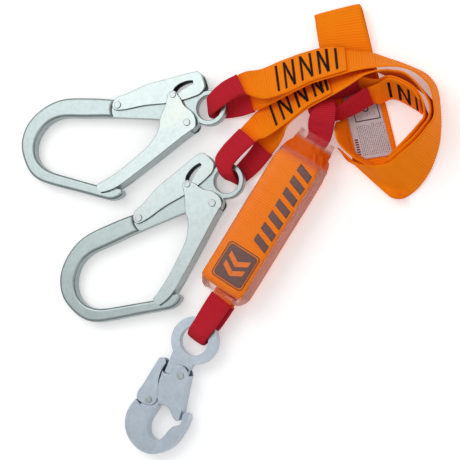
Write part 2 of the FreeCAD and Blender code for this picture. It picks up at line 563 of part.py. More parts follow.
# ---- straps, sleeves and stitching --------------------------------------
def splined(keys):
    """Stations on a smooth curve through the table, spaced by the root of the chord."""
    last = len(keys) - 1
    times = [0.0]
    for a, b in zip(keys[:-1], keys[1:]):
        chord = math.sqrt(sum((b[k] - a[k]) ** 2 for k in range(3)))
        times.append(times[-1] + math.sqrt(max(chord, 1e-3)))
    out = []
    for i in range(last):
        t1, t2 = times[i], times[i + 1]
        span = t2 - t1
        t0 = times[i - 1] if i > 0 else t1 - span
        t3 = times[i + 2] if i < last - 1 else t2 + span
        p1, p2 = keys[i], keys[i + 1]
        p0 = keys[i - 1] if i > 0 else [2 * a - b for a, b in zip(p1, p2)]
        p3 = keys[i + 2] if i < last - 1 else [2 * b - a for a, b in zip(p1, p2)]
        for j in range(SPAN_STEPS):
            s = j / float(SPAN_STEPS)
            row = []
            for a, b, c, d in zip(p0, p1, p2, p3):
                slope = (c - b) / span
                m1 = span * ((b - a) / (t1 - t0) - (c - a) / (t2 - t0) + slope)
                m2 = span * (slope - (d - b) / (t3 - t1) + (d - c) / (t3 - t2))
                row.append((2 * s ** 3 - 3 * s ** 2 + 1) * b + (s ** 3 - 2 * s ** 2 + s) * m1
                           + (-2 * s ** 3 + 3 * s ** 2) * c + (s ** 3 - s ** 2) * m2)
            out.append(row)
    out.append(list(keys[-1]))
    return out


def dense(rows):
    """One extra station half way between each pair, on a smooth curve through the rows."""
    out = []
    for i in range(len(rows) - 1):
        a, b = rows[i], rows[i + 1]
        before = rows[i - 1] if i > 0 else [2 * x - y for x, y in zip(a, b)]
        after = rows[i + 2] if i + 2 < len(rows) else [2 * y - x for x, y in zip(a, b)]
        out.append(list(a))
        out.append([(-before[k] + 9 * a[k] + 9 * b[k] - after[k]) / 16.0 for k in range(6)])
    out.append(list(rows[-1]))
    return out


def frames(rows):
    """Per station: centre, unit width direction, unit face normal, width."""
    out = []
    for i, row in enumerate(rows):
        before = Vector(*rows[max(i - 1, 0)][:3])
        after = Vector(*rows[min(i + 1, len(rows) - 1)][:3])
        across = Vector(*row[3:])
        width = across.Length
        across = across * (1.0 / width)
        normal = (after - before).cross(across)
        if normal.Length < 1e-9:
            normal = Vector(0, 0, 1)
        normal.normalize()
        out.append((Vector(*row[:3]), across, normal, width))
    return out


def section(centre, across, normal, width, thick):
    u = across * (width / 2)
    v = normal * (thick / 2)
    corners = [centre + u + v, centre - u + v, centre - u - v, centre + u - v]
    return Part.makePolygon(corners + [corners[0]])


def band(rows, thick, trim=0.0):
    """Strap of constant thickness, narrower than its stations by the trim."""
    wires = [section(c, u, n, width - trim, thick) for c, u, n, width in frames(rows)]
    return outward(Part.makeLoft(wires, True, True))


def clamp01(x):
    return max(0.0, min(1.0, x))


def strap(rows, folded):
    """Webbing: flat, but folded lengthwise (narrower, thicker) in the folded range."""
    first, last = folded or (0, len(rows) - 1)
    wires = []
    for i, (c, u, n, width) in enumerate(frames(dense(rows))):
        station = i / 2.0
        fold = (clamp01((station - (first - FOLD_RUN)) / FOLD_RUN)
                * clamp01(((last + FOLD_RUN) - station) / FOLD_RUN))
        thick = WEB_T + (EYE_WEB_T - WEB_T) * fold
        wires.append(section(c, u, n, width - 2 * EYE_WEB_INSET * fold, thick))
    return outward(Part.makeLoft(wires, True, True))


def overrun(end, neighbour):
    """Station moved on past the end of the rows."""
    step = [a - b for a, b in zip(end[:3], neighbour[:3])]
    length = math.sqrt(sum(d * d for d in step))
    return [a + d / length * BORE_OVERRUN for a, d in zip(end, step)] + end[3:]


def sleeve(rows, first, last):
    covered = dense(rows)[2 * first:2 * last + 1]
    # the bore runs past both ends so the tube is open
    bore = [overrun(covered[0], covered[1])] + covered + [overrun(covered[-1], covered[-2])]
    inner = band(bore, SLEEVE_T - 2 * SLEEVE_WALL, trim=2 * SLEEVE_WALL)
    return one(band(covered, SLEEVE_T).cut(inner))


def stitching(rows, places, share, side):
    """Rows of cross stitches standing on one face of a strap."""
    rods = []
    stations = frames(dense(rows))
    for place in places:
        i = int(2.0 * place)
        f = 2.0 * place - i
        centre, across, normal, width = [
            a * (1 - f) + b * f for a, b in zip(stations[i], stations[i + 1])]
        across.normalize()
        normal.normalize()
        middle = centre + normal * (side * (WEB_T / 2 + THREAD_R + THREAD_GAP))
        reach = across * (width / 2 * share)
        rods.append(rod(middle - reach, middle + reach, THREAD_R))
    return Part.makeCompound(rods)


# ---- absorber pack, in its own frame (length along x, centre at the origin) ----
def absorber_core():
    """Tear webbing folded back and forth, its layers stacked along z."""
    pitch = LAYER_T + LAYER_GAP
    bottom = -(LAYERS * LAYER_T + (LAYERS - 1) * LAYER_GAP) / 2
    bend_out, bend_in = (2 * LAYER_T + LAYER_GAP) / 2, LAYER_GAP / 2
    along_y = Vector(0, 1, 0)
    solids = []
    for i in range(LAYERS):
        z = bottom + i * pitch
        corner = Vector(-CORE_HALF_L, -CORE_W / 2, z)
        solids.append(Part.makeBox(2 * CORE_HALF_L, CORE_W, LAYER_T, corner))
        if i < LAYERS - 1:
            # half-round bend, on the +x end first, then by turns
            x = CORE_HALF_L if i % 2 == 0 else -CORE_HALF_L
            c = Vector(x, -CORE_W / 2, z + LAYER_T + LAYER_GAP / 2)
            tube = Part.makeCylinder(bend_out, CORE_W, c, along_y)
            tube = tube.cut(Part.makeCylinder(bend_in, CORE_W, c, along_y))
            reach = bend_out * 1.2
            corner = Vector(x if x > 0 else x - reach, -PACK_W / 2, c.z - 1.5 * bend_out)
            solids.append(tube.common(Part.makeBox(reach, PACK_W, 3 * bend_out, corner)))
    return one(solids[0].fuse(solids[1:]))


def absorber_cover():
    """Outer turn of webbing, running lengthwise round the folds and over both ends."""
    def block(length, width, height, r):
        box = Part.makeBox(length, width, height, Vector(-length / 2, -width / 2, -height / 2))
        along_y = [e for e in box.Edges
                   if abs(abs(e.tangentAt(e.FirstParameter).y) - 1) < 1e-6]
        return box.makeFillet(r, along_y)
    outer = block(COVER_L, COVER_W, COVER_H, COVER_R)
    inner = block(COVER_L - 2 * COVER_T, COVER_W + 10, COVER_H - 2 * COVER_T, COVER_R - COVER_T)
    return one(outer.cut(inner))


# film sections: x, width, height, centre z, centre y, corner radius
FILM = [
    (-75.6, 38.0, 27.0, -0.6, 0.0, 4.0), (-74.0, 43.0, 31.5, -0.2, 0.0, 3.0),
    (-71.5, 46.6, 34.8, 0.0, 0.0, 2.0), (-40.0, 46.8, 34.9, 0.0, 0.0, 2.0),
    (40.0, 46.8, 34.9, 0.0, 0.0, 2.0), (71.5, 46.6, 34.8, 0.0, 0.0, 2.0),
    (76.5, 41.0, 33.2, -0.4, 0.2, 4.0), (84.0, 36.0, 31.6, -0.6, 0.2, 5.0),
    (92.0, 35.0, 32.0, -1.0, 0.0, 5.0),
]


def film_section(x, width, height, centre_z, centre_y, r):
    y, z = width / 2.0 - r, height / 2.0 - r
    points = []
    for cy, cz, start in ((y, z, 0), (-y, z, 90), (-y, -z, 180), (y, -z, 270)):
        for j in range(4):
            a = math.radians(start + 30 * j)
            points.append(Vector(x, centre_y + cy + r * math.cos(a),
                                 centre_z + cz + r * math.sin(a)))
    return Part.makePolygon(points + [points[0]])


def absorber_film():
    """Thin open-ended wrapper round the pack."""
    def loft(rows, inset):
        wires = [film_section(x, width - 2 * inset, height - 2 * inset, z, y,
                              max(r - inset, 1.0)) for x, width, height, z, y, r in rows]
        return Part.makeLoft(wires, True, True)
    start, end = FILM[0], FILM[-1]
    bore = ([(start[0] - FILM_OVERRUN,) + start[1:]] + FILM
            + [(end[0] + FILM_OVERRUN,) + end[1:]])
    return one(loft(FILM, 0.0).cut(loft(bore, FILM_T)))


def printed_marks():
    """A framed square with a chevron and a row of slanted bars, joined by one rail."""
    def box(x0, x1, y0, y1):
        return Part.makeBox(x1 - x0, y1 - y0, PRINT_T, Vector(x0, y0, PRINT_Z))

    def quad(points):
        return prism(points, PRINT_Z, PRINT_T)
    frame = box(-63.0, -28.0, -19.0, 14.4).cut(box(-61.8, -29.2, -17.8, 13.2))
    panel = box(-60.6, -30.4, -16.6, 12.0)
    panel = panel.cut([
        quad([(-55.0, -2.3), (-49.7, -2.3), (-43.7, -12.0), (-49.0, -12.0)]),
        quad([(-49.0, 7.4), (-43.7, 7.4), (-49.7, -2.3), (-55.0, -2.3)])])
    tie = box(-46.0, -44.0, -18.5, -16.0)
    rail = box(-29.5, 64.0, -19.6, -18.9)
    bars = []
    for k in range(7):
        x = -22.5 + k * 12.2
        bars.append(quad([(x, -19.3), (x + 7.2, -19.3), (x + 12.4, -4.0), (x + 5.2, -4.0)]))
    return one(frame.fuse([panel, tie, rail]).fuse(bars))


# ---- write the nodes ----------------------------------------------------
nodes = {}
hook = scaffold_hook()
for prefix, parts, frame in (("hook_a", hook, HOOK_A), ("hook_b", hook, HOOK_B),
                             ("snap", snap_hook(), SNAP)):
    for part, shape in parts.items():
        nodes["%s_%s" % (prefix, part)] = place_hook(shape, frame)
for web_name, sleeve_name, keys, folded, covered in STRAPS:
    rows = splined(keys)
    nodes[web_name] = strap(rows, folded)
    nodes[sleeve_name] = sleeve(rows, *covered)
for name, keys, places, share, side in STITCHES:
    nodes[name] = stitching(splined(keys), places, share, side)
nodes["absorber_core"] = place_pack(absorber_core())
nodes["absorber_cover"] = place_pack(absorber_cover())
nodes["absorber_film"] = place_pack(absorber_film())
nodes["absorber_print"] = place_pack(printed_marks())
nodes["label"] = prism(LABEL, LABEL_Z, LABEL_T)

for name, shape in nodes.items():
    shape.translate(Vector(*ORIGIN_SHIFT))
    outward(shape).exportStep("parts/%s.step" % name)
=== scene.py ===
import bpy
import math
import numpy as np
from mathutils import Vector, Matrix

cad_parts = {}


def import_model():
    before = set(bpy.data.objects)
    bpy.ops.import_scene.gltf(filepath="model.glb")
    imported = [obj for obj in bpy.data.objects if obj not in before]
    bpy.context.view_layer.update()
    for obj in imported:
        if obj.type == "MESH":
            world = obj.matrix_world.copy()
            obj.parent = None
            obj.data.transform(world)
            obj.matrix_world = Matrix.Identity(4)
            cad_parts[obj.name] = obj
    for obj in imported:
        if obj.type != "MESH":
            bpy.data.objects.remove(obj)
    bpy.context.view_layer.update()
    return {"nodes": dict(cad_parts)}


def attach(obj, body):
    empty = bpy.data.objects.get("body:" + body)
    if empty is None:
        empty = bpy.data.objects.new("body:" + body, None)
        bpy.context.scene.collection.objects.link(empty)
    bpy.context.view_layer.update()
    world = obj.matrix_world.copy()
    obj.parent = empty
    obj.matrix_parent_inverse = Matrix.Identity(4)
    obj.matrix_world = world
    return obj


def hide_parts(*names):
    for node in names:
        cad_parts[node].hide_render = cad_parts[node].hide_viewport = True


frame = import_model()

MM = 0.001
SHIFT = np.array([4.75, 0.6, 0.05])      # row frame origin, same as the CAD part
RNG = np.random.RandomState(7)

# strap stations: centre x, y, z, then the full width vector x, y, z (mm)
LEG_A = [
    (116.6, 147.9, 29.3, 8.3, -29.4, 32.9),
    (102.7, 147.3, 28.4, 8.6, -33.1, 29.3),
    (82.0, 143.8, 25.9, 9.7, -34.2, 27.6),
    (59.4, 137.3, 22.1, 9.6, -36.3, 24.8),
    (37.6, 131.8, 19.7, 11.2, -32.7, 22.0),
    (24.5, 131.8, 21.0, 11.5, -25.9, 6.0),
    (14.0, 131.8, 21.6, 9.3, -18.2, 1.0),
    (2.0, 126.2, 21.2, 9.1, -17.8, 0.0),
    (-8.0, 119.2, 20.6, 8.4, -16.6, 0.0),
    (-13.7, 115.1, 18.2, 6.0, -16.4, 0.0),
    (-16.0, 113.5, 12.0, 0.6, -17.0, 0.0),
    (-13.6, 113.5, 5.9, -1.5, -17.3, 0.0),
    (-8.0, 114.3, 3.3, 0.6, -18.6, 0.0),
    (4.0, 115.2, 3.2, 1.7, -19.9, 0.0),
    (16.0, 117.2, 4.6, 4.4, -20.8, 3.0),
    (27.0, 120.5, 8.2, 8.2, -22.6, 7.0),
    (42.0, 127.5, 13.6, 9.5, -29.1, 17.0),
    (60.1, 136.0, 20.0, 9.6, -36.3, 24.8),
    (82.6, 142.4, 24.0, 9.7, -34.2, 27.6),
    (103.1, 145.7, 26.5, 8.6, -33.1, 29.3),
    (121.3, 146.2, 28.0, 8.2, -28.2, 34.1),
    (141.2, 145.2, 28.0, 8.3, -22.6, 38.0),
    (158.6, 141.4, 27.0, 5.7, -15.9, 41.7),
    (174.0, 136.2, 26.0, 2.8, -11.8, 43.3),
    (186.1, 128.7, 24.5, -1.1, -10.1, 43.8),
    (193.8, 118.3, 24.0, -1.3, -7.1, 44.4),
    (196.8, 103.3, 24.0, 0.0, -5.8, 44.6),
    (197.2, 89.3, 24.0, -0.4, -4.4, 44.8),
    (193.7, 77.4, 24.0, -5.9, 0.8, 44.6),
    (187.6, 65.3, 23.5, -11.6, 5.4, 43.2),
    (177.0, 51.3, 22.0, -17.9, 13.1, 39.1),
    (165.4, 40.5, 20.0, -20.8, 17.7, 35.7),
    (151.8, 36.7, 16.5, -29.8, 23.9, 29.1),
    (138.6, 39.6, 12.0, -44.8, 37.4, 0.0),
    (129.9, 45.6, 9.6, -47.3, 45.5, 0.0),
    (127.6, 47.9, 6.0, -47.9, 46.2, 0.0),
    (128.6, 46.8, 2.6, -47.5, 45.8, 0.0),
    (134.5, 45.1, 1.3, -46.3, 28.7, 0.0),
    (137.9, 52.2, 1.2, -43.7, 15.8, 0.0),
    (136.2, 67.4, 1.2, -42.1, 4.0, 0.0),
    (130.5, 87.1, 1.2, -43.3, -5.0, 0.0),
    (124.4, 112.1, 1.2, -43.6, -7.6, 0.0),
    (118.2, 139.1, 1.2, -43.8, -6.4, 0.0),
    (112.9, 162.4, 1.4, -44.0, -7.2, 0.0),
    (107.8, 186.6, 2.6, -44.2, -6.0, 0.0),
    (105.2, 198.2, 4.2, -43.8, -6.9, 0.0),
    (104.5, 200.1, 7.0, -42.5, -7.4, 0.0),
    (105.8, 196.6, 9.8, -42.6, -7.0, 0.0),
    (108.3, 183.4, 11.0, -44.3, -4.1, 0.0),
    (111.1, 168.8, 8.6, -46.6, -0.3, 0.0),
    (112.7, 158.7, 5.4, -47.5, 0.6, 0.0),
    (115.1, 147.6, 3.6, -45.6, 0.3, 0.0),
    (117.7, 135.8, 3.4, -45.5, -0.7, 0.0),
]
LEG_B = [
    (99.8, 130.3, 26.4, 12.5, -31.2, 30.0),
    (77.0, 120.6, 22.8, 14.1, -30.6, 29.9),
    (54.3, 107.1, 18.9, 16.2, -31.4, 27.9),
    (34.2, 94.6, 15.0, 13.8, -27.0, 18.5),
    (25.5, 87.5, 18.0, 16.8, -15.7, 7.0),
    (16.0, 78.5, 20.6, 14.7, -14.2, 1.0),
    (6.0, 68.5, 21.2, 14.9, -13.4, 0.0),
    (0.0, 59.5, 21.5, 16.6, -8.8, 0.0),
    (1.8, 51.0, 20.1, 14.9, -3.7, 0.0),
    (4.2, 45.2, 12.0, 13.0, -5.8, 0.0),
    (6.6, 45.8, 5.9, 13.3, -9.2, 0.0),
    (10.8, 50.8, 3.3, 14.2, -12.0, 0.0),
    (19.5, 58.5, 3.3, 14.6, -13.6, 0.0),
    (29.0, 68.0, 4.8, 15.6, -14.5, 3.0),
    (38.0, 78.5, 8.6, 17.6, -16.4, 7.0),
    (46.5, 92.0, 12.6, 18.9, -22.6, 17.0),
    (55.4, 105.9, 17.0, 16.2, -31.4, 27.9),
    (78.0, 119.3, 21.0, 14.1, -30.6, 29.9),
    (100.6, 128.8, 24.5, 12.5, -31.2, 30.0),
    (119.5, 135.6, 26.5, 10.8, -27.9, 33.6),
    (130.9, 137.1, 26.5, 7.1, -20.8, 39.3),
    (145.6, 135.0, 26.2, 6.5, -9.3, 43.5),
    (161.8, 129.9, 23.2, 0.0, 1.0, 45.0),
    (174.5, 124.9, 23.7, 1.0, 1.0, 45.0),
    (192.8, 102.8, 24.9, 0.0, -5.8, 44.6),
    (193.2, 89.8, 25.1, -0.4, -4.4, 44.8),
    (190.1, 78.9, 24.3, -5.9, 0.8, 44.6),
    (184.2, 67.5, 23.1, -11.6, 5.4, 43.2),
    (174.1, 54.1, 20.6, -17.9, 13.1, 39.1),
    (163.9, 44.4, 19.2, -19.9, 16.9, 34.1),
    (149.5, 45.8, 14.2, -9.0, 5.0, 17.0),
    (134.8, 53.2, 9.0, -5.0, -2.0, 11.0),
    (121.0, 62.3, 9.6, -4.5, -2.5, 12.5),
    (112.3, 71.1, 14.0, -7.9, 1.9, 22.0),
    (109.3, 82.5, 14.5, -7.2, -3.2, 23.7),
    (107.6, 90.2, 9.8, -8.5, -3.4, 13.4),
    (106.7, 95.2, 5.9, -7.5, -2.0, 5.5),
]
CENTRE = [
    (182.7, 100.9, 23.6, 3.6, 4.6, 43.8),
    (176.4, 108.1, 23.5, 4.5, 8.8, 42.0),
    (166.0, 115.0, 24.0, 3.9, 9.8, 41.0),
    (155.4, 118.8, 23.2, 2.8, 10.0, 38.0),
    (143.8, 115.3, 19.5, 1.3, 13.4, 22.0),
    (137.4, 114.6, 20.0, -2.4, 11.7, 18.5),
    (122.0, 106.8, 20.0, -0.2, 12.9, 17.2),
    (107.2, 101.0, 18.6, 5.0, 11.6, 14.4),
    (97.4, 100.2, 18.4, 3.2, 7.4, 12.8),
    (87.0, 100.8, 18.4, 2.4, 6.4, 12.6),
    (80.6, 106.2, 18.0, 1.4, 5.4, 12.6),
    (84.4, 113.4, 17.6, 1.0, 5.4, 12.0),
    (96.4, 118.0, 18.2, 0.6, 7.0, 14.0),
    (111.9, 121.8, 19.0, -0.1, 9.8, 17.0),
    (127.2, 125.9, 19.5, -1.0, 10.7, 18.0),
    (144.3, 120.3, 19.0, 1.3, 13.4, 22.0),
    (155.4, 121.6, 23.0, 2.8, 10.0, 38.0),
    (166.6, 117.4, 23.5, 3.9, 9.8, 41.0),
    (177.5, 110.0, 23.0, 4.5, 8.8, 42.0),
    (184.5, 102.1, 23.1, 3.6, 4.6, 43.8),
    (188.7, 90.4, 24.2, -0.4, -4.4, 44.8),
    (186.1, 80.5, 23.9, -5.9, 0.8, 44.6),
    (180.8, 69.8, 23.1, -11.6, 5.4, 43.2),
    (172.3, 56.3, 20.9, -17.5, 12.9, 38.4),
    (164.4, 49.0, 19.5, -18.6, 15.0, 33.0),
]
UPPER_LOOP = [
    (77.7, 62.8, 21.6, 19.2, -12.0, 0.0),
    (80.6, 66.4, 22.6, 19.6, -11.3, 0.0),
    (90.2, 79.2, 20.9, 20.9, -6.8, 0.0),
    (92.0, 85.7, 24.5, 23.3, -5.8, 0.0),
    (94.1, 92.9, 28.9, 24.0, -4.3, 0.0),
    (95.8, 99.0, 30.4, 23.0, -2.6, 0.0),
    (97.2, 105.0, 29.9, 20.5, -1.5, 0.0),
    (98.0, 109.9, 27.7, 17.0, -1.2, 0.0),
    (98.2, 111.4, 23.8, 16.8, -1.2, 0.0),
    (97.4, 108.4, 18.2, 16.4, -1.2, 0.0),
    (95.8, 104.6, 12.2, 16.8, -1.2, 0.0),
    (93.6, 100.2, 7.0, 18.4, -2.0, 0.0),
    (90.6, 94.0, 5.3, 20.4, -3.7, 0.0),
    (88.4, 87.0, 8.0, 21.0, -5.3, 0.0),
    (88.2, 80.2, 13.0, 20.9, -6.8, 0.0),
    (80.6, 66.4, 16.8, 19.6, -11.3, 0.0),
    (77.7, 62.8, 17.4, 19.2, -12.0, 0.0),
]
LOWER_LOOP = [
    (1.9, -60.3, 21.0, 18.4, -13.2, 0.0),
    (-3.5, -67.5, 20.8, 18.4, -13.8, 0.0),
    (-11.5, -78.5, 20.4, 18.0, -13.5, 0.0),
    (-19.5, -89.5, 19.8, 16.8, -12.6, 0.0),
    (-26.0, -97.6, 17.6, 16.2, -11.8, 0.0),
    (-28.9, -101.2, 11.0, 16.4, -11.5, 0.0),
    (-25.8, -97.4, 4.9, 16.4, -11.5, 0.0),
    (-18.0, -87.5, 3.2, 17.0, -12.3, 0.0),
    (-10.0, -76.5, 3.4, 17.6, -13.2, 0.0),
    (-3.0, -67.0, 6.5, 18.0, -13.5, 0.0),
    (1.8, -60.5, 12.3, 18.4, -13.2, 0.0),
]


# ---------------------------------------------------------------- numbers
def spline_rows(keys, n_per=20):
    A = np.array(keys, float)
    N = len(A)
    d = np.sqrt(np.maximum(np.linalg.norm(np.diff(A[:, :3], axis=0), axis=1), 1e-3))
    t = np.concatenate([[0], np.cumsum(d)])
    out = []
    par = []
    for i in range(N - 1):
        t1, t2 = t[i], t[i + 1]
        t0 = t[i - 1] if i > 0 else t1 - (t2 - t1)
        t3 = t[i + 2] if i < N - 2 else t2 + (t2 - t1)
        p1, p2 = A[i], A[i + 1]
        p0 = A[i - 1] if i > 0 else 2 * p1 - p2
        p3 = A[i + 2] if i < N - 2 else 2 * p2 - p1
        m1 = (t2 - t1) * ((p1 - p0) / (t1 - t0) - (p2 - p0) / (t2 - t0) + (p2 - p1) / (t2 - t1))
        m2 = (t2 - t1) * ((p2 - p1) / (t2 - t1) - (p3 - p1) / (t3 - t1) + (p3 - p2) / (t3 - t2))
        for j in range(n_per):
            s = j / float(n_per)
            out.append((2 * s ** 3 - 3 * s ** 2 + 1) * p1 + (s ** 3 - 2 * s ** 2 + s) * m1
                       + (-2 * s ** 3 + 3 * s ** 2) * p2 + (s ** 3 - s ** 2) * m2)
            par.append(i + s)
    out.append(A[-1])
    par.append(N - 1.0)
    return np.array(out), np.array(par)


def resample(rows, par, step):
    seg = np.linalg.norm(np.diff(rows[:, :3], axis=0), axis=1)
    s = np.concatenate([[0], np.cumsum(seg)])
    n = max(int(round(s[-1] / step)), 4)
    q = np.linspace(0, s[-1], n + 1)
    out = np.stack([np.interp(q, s, rows[:, k]) for k in range(6)], 1)
    p = np.interp(q, s, par)
    # soften the corners left by the table
    k = max(int(round(2.0 / step)), 1)
    if k > 1:
        ker = np.hanning(2 * k + 3)[1:-1]
        ker /= ker.sum()
        pad = len(ker) // 2
        ext = np.concatenate([2 * out[0] - out[pad:0:-1], out, 2 * out[-1] - out[-2:-pad - 2:-1]])
        out = np.stack([np.convolve(ext[:, c], ker, mode="valid") for c in range(6)], 1)
    return out, p, q


def section_frames(rows):
    t = np.gradient(rows[:, :3], axis=0)
    w = rows[:, 3:6]
    L = np.linalg.norm(w, axis=1)
    w = w / L[:, None]
    n = np.cross(t, w)
    n /= np.maximum(np.linalg.norm(n, axis=1), 1e-9)[:, None]
    return rows[:, :3], w, n, L


def wobble(q, scale, seed, octaves=2):
    """Smooth one-dimensional noise in -1..1."""
    r = np.random.RandomState(seed)
    out = np.zeros_like(q)
    amp = 1.0
    for o in range(octaves):
        m = int(q.max() / scale) + 6
        v = r.uniform(-1, 1, m)
        x = q / scale + 1.5
        i = np.floor(x).astype(int)
        f = x - i
        f = f * f * (3 - 2 * f)
        out += amp * (v[np.clip(i, 0, m - 1)] * (1 - f) + v[np.clip(i + 1, 0, m - 1)] * f)
        scale /= 2.1
        amp *= 0.5
    return out / 1.5


def noise2(u, v, su, sv, seed):
    r = np.random.RandomState(seed)
    nu, nv = int(np.max(u) / su) + 5, int(np.max(v) / sv) + 5
    g = r.uniform(-1, 1, (nu, nv))
    x, y = np.clip(u / su + 1, 0, nu - 2.001), np.clip(v / sv + 1, 0, nv - 2.001)
    i, j = np.floor(x).astype(int), np.floor(y).astype(int)
    f, h = x - i, y - j
    f, h = f * f * (3 - 2 * f), h * h * (3 - 2 * h)
    return (g[i, j] * (1 - f) * (1 - h) + g[i + 1, j] * f * (1 - h) + g[i, j + 1] * (1 - f) * h + g[i + 1, j + 1] * f * h)


# ---------------------------------------------------------------- meshes
def new_object(name, verts, quads, mat, smooth=True, uv=None, attrs=None, tris=None):
    me = bpy.data.meshes.new(name)
    faces = [tuple(f) for f in quads]
    if tris is not None:
        faces += [tuple(f) for f in tris]
    me.from_pydata([tuple(v) for v in np.asarray(verts) * MM], [], faces)
    me.update()
    if uv is not None:
        lay = me.uv_layers.new(name="map")
        idx = np.zeros(len(me.loops), int)
        me.loops.foreach_get("vertex_index", idx)
        lay.data.foreach_set("uv", np.asarray(uv, float)[idx].ravel())
    for k, a in (attrs or {}).items():
        at = me.attributes.new(k, "FLOAT", "POINT")
        at.data.foreach_set("value", np.asarray(a, float))
    if smooth:
        me.polygons.foreach_set("use_smooth", [True] * len(me.polygons))
    me.validate()
    ob = bpy.data.objects.new(name, me)
    bpy.context.scene.collection.objects.link(ob)
    ob.data.materials.append(mat)
    return ob


def tube_grid(rings, closed_ends=True):
    """rings: (n, m, 3) closed sections. Returns verts, quads, end faces."""
    n, m = rings.shape[:2]
    V = rings.reshape(-1, 3)
    i = np.arange(n - 1)[:, None] * m
    j = np.arange(m)[None, :]
    j2 = (j + 1) % m
    q = np.stack([i + j, i + j2, i + m + j2, i + m + j], -1).reshape(-1, 4)
    ends = []
    if closed_ends:
        ends = [list(range(m))[::-1], list(range((n - 1) * m, n * m))]
    return V, q, ends


def strap_mesh(name, keys, mat, step=0.5, across=12, fold=None, pitch=2.4, rib=0.30, thick=2.0, seed=1, wave=0.25, cut=None, quiet=None):
    rows, par = spline_rows(keys)
    rows, p, q = resample(rows, par, step)
    C, w, n, L = section_frames(rows)
    k = np.zeros(len(p))
    if fold:
        lo, hi = fold
        k = np.clip((p - (lo - 1.0)) / 1.0, 0, 1) * np.clip(((hi + 1.0) - p) / 1.0, 0, 1)
    half = L / 2 - EYE_INSET * k
    T = thick + (EYE_T - thick) * k
    h = T / 2
    amp = rib * (1 - k)
    if quiet is not None:
        amp = amp * quiet(p)
    ribs = amp * (np.abs(np.cos(math.pi * q / pitch)) ** 0.8)
    lift = wave * wobble(q, 38.0, seed) * (1 - k)
    s = np.linspace(-1, 1, across + 1)
    edge = 1 - np.abs(s) ** 14 * 0.35
    cup = (0.18 * (s ** 2 - 0.3))
    top, bot, tr, br = [], [], [], []
    base = (h - amp)
    ruffle = 0.16 * wobble(q, 9.0, seed + 5)
    for a, e, c in zip(s, edge, cup):
        off = lift + c + ruffle * abs(a) ** 3
        x = w * (a * half)[:, None]
        top.append(C + x + n * (off + (base + ribs) * e)[:, None])
        bot.append(C + x + n * (off - (base + ribs) * e)[:, None])
        # normalised rib height, stored as the 'rib' attribute that drives the painted shade in the rib valleys
        tr.append(ribs / max(rib, 1e-6))
        br.append(ribs / max(rib, 1e-6))
    # rounded selvedge: one extra point outside each edge
    outer = []
    for a in (1, -1):
        off = lift + 0.18 * 0.7 + ruffle
        outer.append(C + w * (a * (half + 0.28 * base))[:, None] + n * off[:, None])
    ring = top + [outer[0]] + bot[::-1] + [outer[1]]
    cav = tr + [np.full(len(p), 0.6)] + br[::-1] + [np.full(len(p), 0.6)]
    R = np.stack(ring, 1)
    cavv = np.stack(cav, 1)
    m = R.shape[1]
    uu = np.repeat(q[:, None], m, 1)
    av = np.concatenate([s, [1.02], s[::-1], [-1.02]])
    vv = np.repeat(av[None, :], len(q), 0) * (WEB_W / 2)
    V_, Q_, E_ = tube_grid(R)
    edgeatt = np.abs(np.repeat(av[None, :], len(q), 0))
    ob = new_object(name, V_ + SHIFT, Q_, mat, True, np.stack([uu.ravel(), vv.ravel()], 1) * 0.01,
                    {"rib": cavv.ravel(), "along": uu.ravel(), "across": vv.ravel(), "sel": edgeatt.ravel()}, tris=E_)
    return ob


